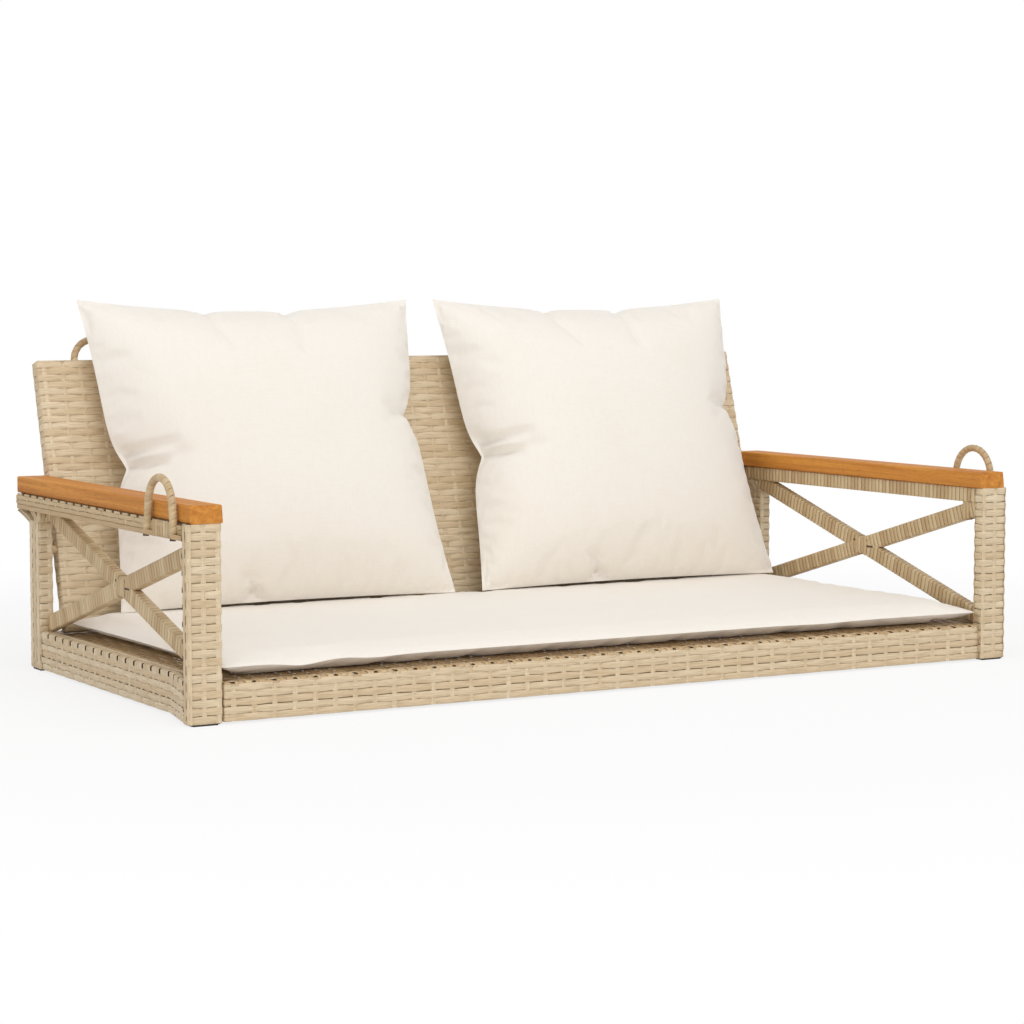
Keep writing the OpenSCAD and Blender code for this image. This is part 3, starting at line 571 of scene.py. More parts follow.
class BENCH_OT_finishes(bpy.types.Operator):
    """Mixes the finishes and gives each CAD node that stays its own"""

    bl_idname = "bench.finishes"
    bl_label = "Finishes"

    def execute(self, context):
        c = context.scene.bench_colours
        # Name, light, dark and drawn lines, and roughness of each strip
        strips = {
            "straw": ("straw", c.straw, c.straw_deep, c.line, 0.52),
            "wound": ("wound", c.wound, c.wound_deep, c.line, 0.5),
            "deck": ("seat", c.deck, c.deck_deep, c.line, 0.5),
            # The dark strip paints shade: it stands in for the shade inside slots, notches and holes
            "shade": ("dark", c.shade, c.shade, c.shade, 0.6),
            # The inner strip's brown paints the shade of the hollow seen between the apron rows
            "painted_gap_shade": ("inner", c.wound_deep, c.line, c.line, 0.6),
        }
        for finish, (name, *look) in strips.items():
            FINISH[finish] = strip_finish("flat polyethylene strip, extruded, " + name, *look)
        FINISH["wood"] = wood_finish("acacia, planed and oiled", c.wood, c.wood_deep, linear("7A431C"))
        FINISH["cloth"] = cloth_finish("polyester cover, plain woven, washed", c.cloth, c.cloth_deep)
        # Name, colour, colour of the grain, metallic and roughness
        grained = {
            "coated": ("steel tube, powder coated", linear("8A7354"), linear("776246"), 0.0, 0.5),
            "zinc": ("steel fastener, zinc plated", linear("B9BBBE"), linear("9A9DA1"), 1.0, 0.35),
            "rubber": ("polypropylene, moulded, black", linear("2A2826"), linear("1E1C1A"), 0.0, 0.55),
            "bush": ("polypropylene, moulded, straw", c.wound, c.wound_deep, 0.0, 0.5),
        }
        for finish, look in grained.items():
            FINISH[finish] = grained_finish(*look)
        finish_of = {"frame_steel": "coated", "acacia": "wood", "zinc_steel": "zinc",
                     "black_plastic": "rubber", "straw_plastic": "bush", "woven_strip": "straw",
                     "seat_strip": "deck", "cushion_cloth": "cloth"}
        for part in frame["record"]["subparts"]:
            node = frame["nodes"][part["node"]]
            node.data.materials.clear()
            node.data.materials.append(FINISH[finish_of[part["material_slot"]]])
        return {"FINISHED"}


# Pieces
class BENCH_OT_posts(bpy.types.Operator):
    """Weaves the skins of the four posts"""

    bl_idname = "bench.posts"
    bl_label = "Woven posts"

    def execute(self, context):
        sizes = context.scene.bench_sizes
        for word, side in SIDES.items():
            self.front(sizes, word, side)
        for word, side in SIDES.items():
            self.rear(sizes, word, side)
        return {"FINISHED"}

    def front(self, sizes, word, side):
        """Front post, with one upright strip near the corner of its outer face."""
        lo, hi = POST
        work = StripWork(word + "_front_post_strips", 11 + side, sizes)
        self.skin(work, side, rectangle(lo, hi), lo[2], hi[2])
        self.stiles(work, side, x=hi[0], columns=[lo[1] + 10.5 * MM], wide=7 * MM,
                    z0=lo[2] + 5 * MM, z1=hi[2] - 1 * MM)
        put(work.make(FINISH["straw"], FINISH["shade"]), word + "_front_post_weave")

    def rear(self, sizes, word, side):
        """Rear post, with three upright strips and a collar that widens to the rail."""
        lo, hi = REAR
        work = StripWork(word + "_rear_post_strips", 21 + side, sizes)
        x0, x1 = SIDE_APRON[0][0] - 1.5 * MM, SIDE_APRON[0][0] + ARM_T
        foot = rectangle((x0, lo[1]), (x1, hi[1]))
        neck = hi[2] - 17 * MM
        self.skin(work, side, foot, lo[2], neck)
        columns = [lo[1] + (hi[1] - lo[1]) * t for t in (0.2, 0.5, 0.8)]
        self.stiles(work, side, x=x1, columns=columns, wide=10.5 * MM,
                    z0=lo[2] + 5 * MM, z1=neck + 2 * MM)
        self.collar(work, side, foot, rectangle(lo, hi), neck, hi[2])
        put(work.make(FINISH["straw"], FINISH["shade"]), word + "_rear_post_weave")

    def skin(self, work, side, plan, z0, z1):
        """Rows round a post, over and under six upright strips."""
        rows, stakes = round((z1 - z0) / POST_ROW), 6
        weave(work, Path(plan, 3 * MM), lift_side(side), z1 - z0, rows, stakes, v0=z0, shift=0.32)

    def stiles(self, work, side, x, columns, wide, z0, z1):
        """Upright strips over the outer face, with short dark strips beside them that paint the shade of
        slots.
        """
        proud, slot_proud = 0.75 * MM, 0.95 * MM
        zs = np.linspace(z0, z1, 30)
        for k, y in enumerate(columns):
            sway = 0.3 * MM * np.sin(zs / (2 * POST_ROW) * 2 * math.pi + 2 * k)
            work.lay(line_of((x + proud + sway) * side, y, zs), (side, 0, 0), wide)
        gap = columns[0] + wide * 0.58 if len(columns) == 1 else (columns[-2] + columns[-1]) / 2
        slot = np.array([-3, 0, 3]) * MM
        # Painted shade: short dark strips laid proud of the weave stand in for the shade of slots
        for z in np.arange(z0 + 12 * MM, z1 - 8 * MM, 2 * POST_ROW):
            work.lay(line_of((x + slot_proud) * side, gap, z + slot), (side, 0, 0), 1.5 * MM, kind=1)

    def collar(self, work, side, foot, head, z0, z1):
        """Strips that fan out from the top of a rear post to the rail above it."""
        below, above = Path(foot, 3 * MM), Path(head, 3 * MM)
        count = round(above.length / SHORT_PITCH)
        rise = np.linspace(-0.1, 1.0, 5)
        wide = np.linspace(below.length, above.length, 5) / count * 0.96
        bow = 1.2 * MM * np.sin(np.clip(rise, 0, 1) * math.pi)
        for t in (np.arange(count) + 0.5) / count:
            u0, u1 = t * below.length, t * above.length
            start, stop = below.at(u0), above.at(u1)
            face = unit(below.normal(u0) + above.normal(u1))
            flat = start + (stop - start) * rise[:, None] - face * bow[:, None]
            middle = lift_side(side)(flat, z0 + (z1 - z0) * rise)
            work.lay(middle, (face[0] * side, face[1], 0.0), wide)


class BENCH_OT_aprons(bpy.types.Operator):
    """Weaves the low aprons of the arms and of the seat"""

    bl_idname = "bench.aprons"
    bl_label = "Woven aprons"

    def execute(self, context):
        sizes = context.scene.bench_sizes
        for word, side in SIDES.items():
            self.arm(sizes, word, side)
        for node, box in (("front_apron_weave", FRONT_APRON), ("rear_apron_weave", REAR_APRON)):
            self.across(sizes, node, *box)
        return {"FINISHED"}

    def arm(self, sizes, word, side):
        """Apron of an arm, which flares out to the front post."""
        lo, hi = SIDE_APRON
        work = StripWork(word + "_side_apron_strips", 31 + side, sizes)
        x1 = lo[0] + ARM_T
        stake_pitch, edge_h = 19 * MM, 6.5 * MM
        outer = [(hi[0], lo[1]), (x1, lo[1] + FLARE), (x1, hi[1])]
        path = Path([(lo[0], lo[1]), *outer, (lo[0], hi[1])])
        stakes = 2 * round(path.length / stake_pitch / 2)
        weave(work, path, lift_side(side), hi[2] - lo[2] - edge_h, APRON_ROWS, stakes, v0=lo[2])
        self.edge(work, side, lo, hi, Path(outer, 30 * MM, closed=False))
        self.cover(work, side, lo, hi, x1)
        put(work.make(FINISH["straw"], FINISH["shade"]), word + "_side_apron_weave")

    def across(self, sizes, node, lo, hi):
        """Apron under the front or the rear edge of the seat."""
        work = StripWork(node.replace("weave", "strips"), 41 + len(node), sizes)
        tall, deep = hi[2] - lo[2], hi[1] - lo[1]
        path = Path(rectangle(lo, hi), 2.5 * MM)
        stakes = 2 * round(path.length / sizes.stake / 2)
        weave(work, path, lift_side(1), tall + 0.6 * MM, APRON_ROWS, stakes, v0=lo[2] - 0.2 * MM)
        xs = np.linspace(lo[0] + 2 * MM, hi[0] - 2 * MM, 40)
        behind = 2.6 * MM
        for share_y, share_z in ((0.27, 0.26), (0.73, 0.74)):
            # Strips along the underside
            work.lay(line_of(xs, lo[1] + deep * share_y, lo[2] + 0.5 * MM), (0, 0, -1), 7.5 * MM)
            # Broad brown strips behind the rows, seen only between them: their colour paints the shade of
            # the hollow between the rows
            for y, face in ((lo[1] + behind, -1), (hi[1] - behind, 1)):
                work.lay(line_of(xs, y, lo[2] + tall * share_z), (0, face, 0), tall * 0.46, kind=1)
        put(work.make(FINISH["straw"], FINISH["painted_gap_shade"]), node)

    def edge(self, work, side, lo, hi, outer):
        """The top edge: short strips in threes over a dark strip that paints the shade seen through the
        slots, and strips along it.
        """
        surface = sleeve(outer, lift_side(side))
        marks = np.linspace(0, outer.length, 60)
        edge_z = hi[2] - 4.6 * MM
        # Painted shade: a dark strip behind the short strips, seen through the slots, stands in for the
        # shade there
        inner = surface(marks, edge_z, -1.3 * MM)
        work.lay(inner, surface(marks, edge_z, 1 * MM) - inner, 7.6 * MM, kind=1)
        self.bind(work, surface, start=3 * MM, stop=outer.length - 1 * MM, top=hi[2] - 0.5 * MM)
        for n, wide in ((-7.2, 5.6), (-13.0, 5.0)):
            work.lay(surface(marks, hi[2] - 0.6 * MM, n * MM), (0, 0, 1), wide * MM)
        ys = np.linspace(lo[1] + 1 * MM, hi[1] - 1 * MM, 40)
        work.lay(line_of((lo[0] + 0.4 * MM) * side, ys, edge_z), (-side, 0, 0), 7.8 * MM)

    def bind(self, work, surface, start, stop, top):
        """Short strips that come up a face and bend in over its top, with a slot after every three."""
        wide, foot = 7.4 * MM, top - 8.5 * MM
        count = round((stop - start) / work.sizes.stake)
        pitch = (stop - start) / count
        v = np.array([foot, (foot + top) / 2, top - 1.4 * MM, top - 0.4 * MM, top, top])
        n = np.array([0.1, 0.4, 0.35, -0.5, -1.8, -4.5]) * MM
        bent = np.array([0, 0, 0.2, 1, 1, 1])[:, None]
        for k in range(count):
            for j in (-1, 0, 1):
                u = start + (k + 0.5) * pitch + j * wide
                middle = surface(u, v, n)
                face = unit(surface(u, v, n + MM) - middle)
                work.lay(middle, face * (1 - 0.9 * bent) + np.array([0, 0, 1]) * bent, wide * 0.95)

    def cover(self, work, side, lo, hi, x1):
        """Strips that close the top and the underside between the two faces."""
        count = round((hi[1] - lo[1]) / SHORT_PITCH)
        for z, face in ((hi[2] - 1.6 * MM, 1), (lo[2] + 0.3 * MM, -1)):
            for k in range(count):
                y = lo[1] + (k + 0.5) * (hi[1] - lo[1]) / count
                reach = x1 + max(0.0, 1 - (y - lo[1]) / FLARE) * (hi[0] - x1)
                xs = np.linspace(lo[0] + 0.5 * MM, reach - 1.5 * MM, 4)
                drop = np.array([1.2, 0, 0, 2.0]) * MM * face
                work.lay(line_of(xs * side, y, z - drop), (0, 0, face), 7.8 * MM)


class BENCH_OT_rails(bpy.types.Operator):
    """Wraps the rails under the boards and weaves their outer faces"""

    bl_idname = "bench.rails"
    bl_label = "Arm rails"

    def execute(self, context):
        sizes = context.scene.bench_sizes
        lo, hi = RAIL
        length = hi[1] - lo[1]
        turns = round(length / sizes.wrap)
        inner, top, foot = lo[0] + 0.5 * MM, hi[2] - 0.5 * MM, lo[2] + 0.5 * MM
        section = [(hi[0] - 6 * MM, top), (inner, top), (inner, foot), (hi[0] - 1.5 * MM, foot)]
        path = Path(section, 2.5 * MM, closed=False)
        for word, side in SIDES.items():
            work = StripWork(word + "_arm_rail_strips", 51 + side, sizes)
            for k in range(turns):
                y = lo[1] + (k + 0.5) * length / turns
                turn(work, path, side, 0.0, y, sizes.wrap * 0.94, step=8 * MM)
            self.face(work, side, lo, hi)
            put(work.make(FINISH["wound"], FINISH["shade"]), word + "_arm_rail_weave")
        return {"FINISHED"}

    def face(self, work, side, lo, hi):
        """Outer face: a loose strip over the loop's feet, two woven rows, and notches under the board
        over a dark strip that paints their shade.
        """
        stake, out = work.sizes.stake, (side, 0, 0)
        legs = leg_places(lo[2] + LOOP_FOOT)
        outer = Path([(hi[0], lo[1]), (hi[0], hi[1])], closed=False)
        surface = sleeve(outer, lift_side(side))
        ys = np.linspace(1 * MM, hi[1] - lo[1] - 1 * MM, 150)
        # Over each leg the loose strip stands out and rises a little
        half_bulge, stand, rise = 9 * MM, 7.2 * MM, 1.4 * MM
        bulge = sum(np.exp(-((ys + lo[1] - leg) / half_bulge) ** 4) for leg in legs)
        swing = 0.25 * MM * np.cos(np.pi * ys / stake) - 0.4 * MM
        work.lay(surface(ys, lo[2] + 3 * MM + rise * bulge, swing + stand * bulge), out, 6.3 * MM)
        weave(work, outer, lift_side(side), 11.4 * MM, 2, round(outer.length / stake),
              v0=lo[2] + 6.2 * MM, stake_width=6 * MM, flat=0.8)
        # Painted shade: a dark strip under the notches stands in for the shade inside them
        work.lay(surface(ys, hi[2] - 2.2 * MM, -1.4 * MM), out, 4 * MM, kind=1)
        start, stop = max(legs) - lo[1] + 8 * MM, hi[1] - lo[1] - 1 * MM
        count = round((stop - start) / stake)
        for k in range(count):
            us = start + (k + np.array([0.16, 0.5, 0.84])) * (stop - start) / count
            work.lay(surface(us, hi[2] - 1.2 * MM, 0.3 * MM), out, 2.9 * MM)
        self.feet(work, surface, lo, legs, out)

    def feet(self, work, surface, lo, legs, out):
        """Short strips up the face between the legs of the loop, and dark strips under the legs that
        paint the shade of the holes there.
        """
        zs = np.array([0.8, 6, 12, 18, 19.6]) * MM + lo[2]
        for y in np.arange(min(legs) + 10 * MM, max(legs) - 8 * MM, 8 * MM):
            work.lay(surface(y - lo[1], zs, np.array([0.4, 0.6, 0.6, 0.4, -0.4]) * MM), out, 7.2 * MM)
        # Painted shade: a short dark strip under each leg stands in for the shade of the hole there
        for leg in legs:
            us = leg - lo[1] + np.array([-6.5, 0, 6.5]) * MM
            middle = surface(us, lo[2] + 0.6 * MM, np.array([3.5, 7.4, 3.5]) * MM)
            work.lay(middle, out, 2.8 * MM, kind=1, thick=1.2 * MM)


def leg_places(z):
    """Where the legs of a front loop stand at a height, from front to rear."""
    lo, hi = FRONT_LOOP
    bend = hi[2] - LOOP_HALF - FRONT_LOOP_RADIUS
    reach = FRONT_LOOP_RADIUS / math.cos(LOOP_SPLAY) + (bend - z) * math.tan(LOOP_SPLAY)
    return [(lo[1] + hi[1]) / 2 - reach, (lo[1] + hi[1]) / 2 + reach]


def bar_ends():
    """Middle lines of the two braces in an arm frame, from front to rear, as (y, z)."""
    y0, y1 = POST[1][1], REAR[0][1]
    z0, z1 = SIDE_APRON[1][2], RAIL[0][2]
    rising = ((y0, z0 + 6 * MM), (y1, z1 - 1 * MM))
    falling = ((y0, z1 - 6.5 * MM), (y1, z0 + 9.5 * MM))
    return rising, falling


def height_of(line, y):
    """Height of a brace's middle line at a place along the bench's depth."""
    (y0, z0), (y1, z1) = line
    return z0 + (z1 - z0) * (y - y0) / (y1 - y0)


class BENCH_OT_braces(bpy.types.Operator):
    """Winds strip round the cross braces and ties the knot over their crossing"""

    bl_idname = "bench.braces"
    bl_label = "Wrapped braces"

    def execute(self, context):
        sizes = context.scene.bench_sizes
        rising, falling = bar_ends()
        x = span("right_falling_brace_wrap")[1][0] - BRACE_T / 2
        for word, side in SIDES.items():
            for name, line in (("rising", rising), ("falling", falling)):
                work = StripWork(f"{word}_{name}_brace_strips", 61 + side + len(name), sizes)
                self.wind(work, side, x, line)
                if name == "falling":
                    self.hold(work, side, x, line)
                put(work.make(FINISH["wound"]), f"{word}_{name}_brace_wrap")
            work = StripWork(word + "_brace_knot_strips", 81 + side, sizes)
            self.tie(work, side, x, rising, falling)
            put(work.make(FINISH["wound"], FINISH["shade"]), word + "_brace_knot")
        return {"FINISHED"}

    def wind(self, work, side, x, line):
        """Turns round a brace from end to end, each a little askew."""
        start, end = np.array(line)
        length = np.linalg.norm(end - start)
        along = (end - start) / length
        up = np.array([-along[1], along[0]])
        corner = np.array([BRACE_T, BRACE_W]) / 2
        path = Path(rectangle(-corner, corner), 2.5 * MM)
        marks = sample(path, TURN_STEP, 1)
        flat, face = path.at(marks), path.normal(marks)
        turns = round(length / work.sizes.wrap)
        for k in range(turns):
            mid = start + along * (k + 0.5) * length / turns
            askew = along * (flat[:, 1:] / BRACE_W) * 1.5 * MM
            place = mid + up * flat[:, 1:] + askew
            middle = line_of((x + flat[:, 0]) * side, place[:, 0], place[:, 1])
            out = line_of(face[:, 0] * side, up[0] * face[:, 1], up[1] * face[:, 1])
            work.lay(middle, out, work.sizes.wrap * 0.93, closed=True)

    def tie(self, work, side, x, rising, falling):
        """Four upright turns over both braces, with dark strips beside them that paint the shade of
        slots.
        """
        y0, y1 = rising[0][0], rising[1][0]
        gap, end_gap = (falling[i][1] - rising[i][1] for i in (0, 1))
        cross_y = y0 + gap / (gap - end_gap) * (y1 - y0)
        half, reach = BRACE_T / 2 + 0.9 * MM, BRACE_W / 2 * 1.05
        for k in range(4):
            y = cross_y + (k - 1.5) * 6.4 * MM
            zs = height_of(rising, y), height_of(falling, y)
            path = Path(rectangle((-half, min(zs) - reach), (half, max(zs) + reach)), 4 * MM)
            turn(work, path, side, x, y, TIE_W)
        # Dark strips that paint shade in the crook towards the front and over the crossing towards the
        # rear: place from the crossing, length and height, in millimetres
        cross_z = height_of(falling, cross_y)
        for dy, dz, long, tall in ((-21, -0.5, 13, 2.4), (14.5, 7, 4, 3)):
            for face in (-1, 1):
                ys = cross_y + (dy + np.array([-0.5, 0, 0.5]) * long) * MM
                middle = line_of((x + face * (BRACE_T / 2 + 0.7 * MM)) * side, ys, cross_z + dz * MM)
                work.lay(middle, (side * face, 0, 0), tall * MM, kind=1)

    def hold(self, work, side, x, line):
        """Two upright turns that tie the brace to the rail beside the front post."""
        half = BRACE_T / 2 + 0.8 * MM
        for k in range(2):
            y = line[0][0] + (17 + 6.6 * k) * MM
            bottom = height_of(line, y) - BRACE_W / 2 - 0.8 * MM
            path = Path(rectangle((-half, bottom), (half, RAIL[0][2] + 3 * MM)), 3 * MM)
            turn(work, path, side, x, y, TIE_W)


class BENCH_OT_seat(bpy.types.Operator):
    """Weaves the seat surface, whose strips bend down over the aprons"""

    bl_idname = "bench.seat"
    bl_label = "Woven seat"

    def execute(self, context):
        sizes = context.scene.bench_sizes
        lo, hi = DECK
        work = StripWork("seat_strips", 91, sizes)
        front, rear = lo[1] + 0.2 * MM, hi[1] - 0.2 * MM
        top = hi[2] - 1.0 * MM
        bottom = top - 3.6 * MM
        hole, closed_part = 7 * MM, 11 * MM
        path = Path([(rear, bottom), (rear, top), (front, top), (front, bottom)], 2.2 * MM, closed=False)

        def lift(flat, v):
            """The path lies in y and z, and its rows follow each other along x."""
            return line_of(v, flat[..., 0], flat[..., 1])

        def trim(i):
            """Every third strip ends inside the edge and leaves a hole."""
            return hole if i % 3 == 1 else 0.0

        width = hi[0] - lo[0]
        rows, stakes = 3 * round(width / sizes.stake), 19
        weave(work, path, lift, width, rows, stakes, v0=lo[0], fine=2, stake_width=8 * MM, trim=trim)
        # A narrower strip closes half of each hole
        surface = sleeve(path, lift)
        ends = np.linspace(0, closed_part, 8)
        for i in range(1, rows, 3):
            x = lo[0] + (i + 0.8) * width / rows
            for us in (ends, path.length - ends):
                middle = surface(us, x, 0.0)
                work.lay(middle, surface(us, x, MM) - middle, 4.2 * MM)
        put(work.make(FINISH["deck"]), "seat_weave")
        return {"FINISHED"}


class BENCH_OT_back(bpy.types.Operator):
    """Weaves the leaning back panel"""

    bl_idname = "bench.back"
    bl_label = "Woven back"

    def execute(self, context):
        sizes = context.scene.bench_sizes
        sin, cos = math.sin(sizes.lean), math.cos(sizes.lean)
        half = BACK[1][0]
        foot_y, foot_z = BACK[0][1], BACK[0][2] + BACK_DEPTH * sin
        length = (BACK[1][2] - foot_z) / cos

        def lift(flat, v):
            """From across and through the panel, and up its slope, to space."""
            return line_of(flat[..., 0], foot_y + flat[..., 1] * cos + v * sin,
                           foot_z - flat[..., 1] * sin + v * cos)

        work = StripWork("back_strips", 101, sizes)
        face, turn_in = 1.25 * MM, half - 15 * MM
        path = Path([(-turn_in, BACK_DEPTH), (-half, BACK_DEPTH), (-half, face), (half, face),
                     (half, BACK_DEPTH), (turn_in, BACK_DEPTH)], 2.5 * MM, closed=False)
        stakes = 2 * round(path.length / sizes.stake / 2) + 1
        weave(work, path, lift, length, round(length / sizes.row), stakes, share=1.04)
        # Two strips along the top and two along the foot close the panel's edges
        xs = np.linspace(-half + 1 * MM, half - 1 * MM, 120)
        for v, up in ((length + 0.2 * MM, 1), (-0.2 * MM, -1)):
            for y in (4.8 * MM, 12.8 * MM):
                middle = lift(np.stack(np.broadcast_arrays(xs, y), -1), v)
                work.lay(middle, (0, sin * up, cos * up), 8.2 * MM)
        # Two more along the rear face of the top and of the bottom tube
        for v in (4.4 * MM, 12.6 * MM, length - 12.6 * MM, length - 4.4 * MM):
            middle = lift(np.stack(np.broadcast_arrays(xs, BACK_DEPTH + 0.5 * MM), -1), v)
            work.lay(middle, (0, cos, -sin), 8.4 * MM)
        put(work.make(FINISH["straw"]), "back_weave")
        work = StripWork("back_upright_strips", 111, sizes)
        for x in (-half / 3, half / 3):
            self.wrap_upright(work, x, lift, length)
        put(work.make(FINISH["straw"]), "back_upright_wraps")
        return {"FINISHED"}

    def wrap_upright(self, work, x, lift, length):
        """Turns round a tube behind the panel, from the bottom tube to the top one."""
        half, front, rear = 7.5 * MM, 3.6 * MM, 17 * MM
        path = Path(rectangle((x - half, front), (x + half, rear)))
        marks = sample(path, TURN_STEP, 1)
        tube, pitch = 17 * MM, 8.6 * MM
        start, stop = tube, length - tube
        turns = round((stop - start) / pitch)
        for k in range(turns):
            v = start + (k + 0.5) * (stop - start) / turns
            middle = lift(path.at(marks), v)
            out = lift(path.at(marks) + path.normal(marks) * MM, v) - middle
            work.lay(middle, out, 8.2 * MM, closed=True)


def loop_line(radius, splay, leg, bend=28):
    """Middle line of a loop in its own plane, from the foot of one leg to the other."""
    angles = splay + (math.pi - 2 * splay) * np.arange(bend + 1) / bend
    arch = radius * np.stack([np.cos(angles), np.sin(angles)], -1)
    down = np.array([math.sin(splay), -math.cos(splay)]) * leg
    near = arch[0] + down * (1 - np.linspace(0, 0.95, 14))[:, None]
    far = arch[-1] + down * (-1, 1) * np.linspace(0.05, 1, 14)[:, None]
    return np.vstack([near, arch, far])


class BENCH_OT_loops(bpy.types.Operator):
    """Winds strip round the four hanging loops"""

    bl_idname = "bench.loops"
    bl_label = "Hanging loops"

    def execute(self, context):
        sizes = context.scene.bench_sizes
        for word, side in SIDES.items():
            self.front(sizes, word, side)
            self.rear(sizes, word, side)
        return {"FINISHED"}

    def front(self, sizes, word, side):
        """Loop outside the board, whose splayed legs end at the rail."""
        lo, hi = FRONT_LOOP
        rod = span("right_front_loop_rod")
        work = StripWork(word + "_front_loop_strips", 121 + side, sizes)
        bend_z = hi[2] - LOOP_HALF - FRONT_LOOP_RADIUS
        foot_z = RAIL[0][2] + LOOP_FOOT
        leg = (bend_z - foot_z) / math.cos(LOOP_SPLAY) + FRONT_LOOP_RADIUS * math.tan(LOOP_SPLAY)
        flat = loop_line(FRONT_LOOP_RADIUS, LOOP_SPLAY, leg)
        x = (rod[0][0] + rod[1][0]) / 2
        line = line_of(x * side, (lo[1] + hi[1]) / 2 + flat[:, 0], bend_z + flat[:, 1])
        self.wind(work, line, np.array([1, 0, 0]))
        put(work.make(FINISH["wound"]), word + "_front_loop_wrap")

    def rear(self, sizes, word, side):
        """Loop on the top edge of the back, in line with its slope."""
        lo, hi = REAR_LOOP
        work = StripWork(word + "_rear_loop_strips", 131 + side, sizes)
        sin, cos = math.sin(sizes.lean), math.cos(sizes.lean)
        flat = loop_line(REAR_LOOP_RADIUS, 0.0, REAR_LOOP_LEG)
        line = line_of((lo[0] + hi[0]) / 2 * side + flat[:, 0],
                       hi[1] - LOOP_HALF + (flat[:, 1] - REAR_LOOP_RADIUS) * sin,
                       hi[2] - LOOP_HALF + (flat[:, 1] - REAR_LOOP_RADIUS) * cos)
        self.wind(work, line, np.array([0, cos, -sin]))
        put(work.make(FINISH["wound"]), word + "_rear_loop_wrap")

    def wind(self, work, line, across):
        """One strip in a helix round the line, each turn a length of its own."""
        marks = marks_of(line)
        length = marks[-1]

        def at(t):
            """Places at lengths along the line."""
            t = np.clip(t, 0, length)
            return np.stack([np.interp(t, marks, line[:, c]) for c in range(3)], -1)

        turns = round(length / work.sizes.loop_wrap)
        reach = 4.2 * MM
        # A little more than a whole turn, so that it meets the next one
        share = np.linspace(0, 1.02, 15)
        angle = 2 * math.pi * share[:, None]
        for k in range(turns):
            t = np.clip((k + share) * length / turns, 0, length)
            along = unit(at(t + MM) - at(t - MM))
            out = across * np.cos(angle) + unit(np.cross(along, across)) * np.sin(angle)
            work.lay(at(t) + out * reach, out, work.sizes.loop_wrap)


# Cushions
def spread(count):
    """Places from -1 to 1, closer together near the seam."""
    even = np.linspace(-1, 1, count + 1)
    return 0.3 * even + 0.7 * np.sin(even * math.pi / 2)


def dome(u, v, square):
    """Crown of a sewn cushion: 0 on the seam, 1 in the middle."""
    return (np.maximum(0, 1 - np.abs(u) ** square[0]) * np.maximum(0, 1 - np.abs(v) ** square[1])) ** 0.62


def gather(t, places, depth, width=0.13):
    """How far a seam is drawn in near the places where the filling is gathered."""
    return depth * np.max([np.exp(-(np.abs(t - place) / width) ** 1.3) for place in places], axis=0)


def crease(x, h, start, stop, depth, width):
    """Depth of a fold between two places on a cushion's face. It is deepest at its start."""
    start, along = np.array(start) * MM, np.subtract(stop, start) * MM
    t = np.clip(((x - start[0]) * along[0] + (h - start[1]) * along[1]) / (along @ along), 0, 1)
    far = np.hypot(x - start[0] - t * along[0], h - start[1] - t * along[1])
    return depth * (1 - t) ** 0.6 * np.exp(-(far / (width * MM * (1 - 0.4 * t))) ** 2)


# Folds of a back cushion: from, to, share of the fold depth, width. Millimetres from the middle
# of its lower seam. The first four gather the left seam and the next two the right one, then come
# two at the top seam and three at the foot. A share below 0 is a ridge between folds.
FOLDS = (
    ((-216, 194), (-168, 185), 1.3, 6.5),
    ((-216, 208), (-154, 213), 1.0, 6.0),
    ((-206, 200), (-160, 197), -0.35, 5.0),
    ((-214, 199), (-200, 199), 0.5, 22),
    ((212, 251), (150, 242), 0.6, 4.0),
    ((214, 252), (204, 250), 1.0, 8),
    ((-66, 404), (-62, 386), 0.5, 5),
    ((54, 404), (34, 390), 0.5, 5),
    ((-56, -2), (-62, 22), 3.0, 9),
    ((-50, -2), (-70, 12), 1.6, 7),
    ((-66, 28), (-92, 40), 0.45, 5),
)

# Dips of the seat cushion's front seam, in millimetres: place, half width, depth
DIPS = ((-445, 28, 4.0), (-345, 30, 1.6), (300, 50, 1.2), (-390, 20, -1.0))


def sewn(name, upper, under):
    """Cover whose two faces share a seam, with its points and the numbers of those on the seam."""
    nu, nv = upper.shape[0] - 1, upper.shape[1] - 1
    top = np.arange((nu + 1) * (nv + 1)).reshape(nu + 1, nv + 1)
    bottom = top.copy()
    bottom[1:-1, 1:-1] = top.size + np.arange((nu - 1) * (nv - 1)).reshape(nu - 1, nv - 1)

    def cells(grid):
        """Corners of the cells between a grid's points."""
        return np.stack([grid[:-1, :-1], grid[1:, :-1], grid[1:, 1:], grid[:-1, 1:]], -1).reshape(-1, 4)

    faces = np.vstack([cells(top), cells(bottom)[:, ::-1]])
    points = np.vstack([upper.reshape(-1, 3), under[1:-1, 1:-1].reshape(-1, 3)])
    mesh = bpy.data.meshes.new(name)
    mesh.from_pydata(points.tolist(), [], faces.tolist())
    mesh.polygons.foreach_set("use_smooth", np.ones(len(mesh.polygons), bool))
    on_seam = np.zeros(len(points), bool)
    on_seam[np.concatenate([top[0], top[-1], top[:, 0], top[:, -1]])] = True
    ends = np.empty(len(mesh.edges) * 2, np.int32)
    mesh.edges.foreach_get("vertices", ends)
    mesh.edges.foreach_set("use_edge_sharp", on_seam[ends].reshape(-1, 2).all(axis=1))
    mesh.materials.append(FINISH["cloth"])
    piece = bpy.data.objects.new(name, mesh)
    bpy.context.scene.collection.objects.link(piece)
    return piece, points, np.flatnonzero(on_seam)


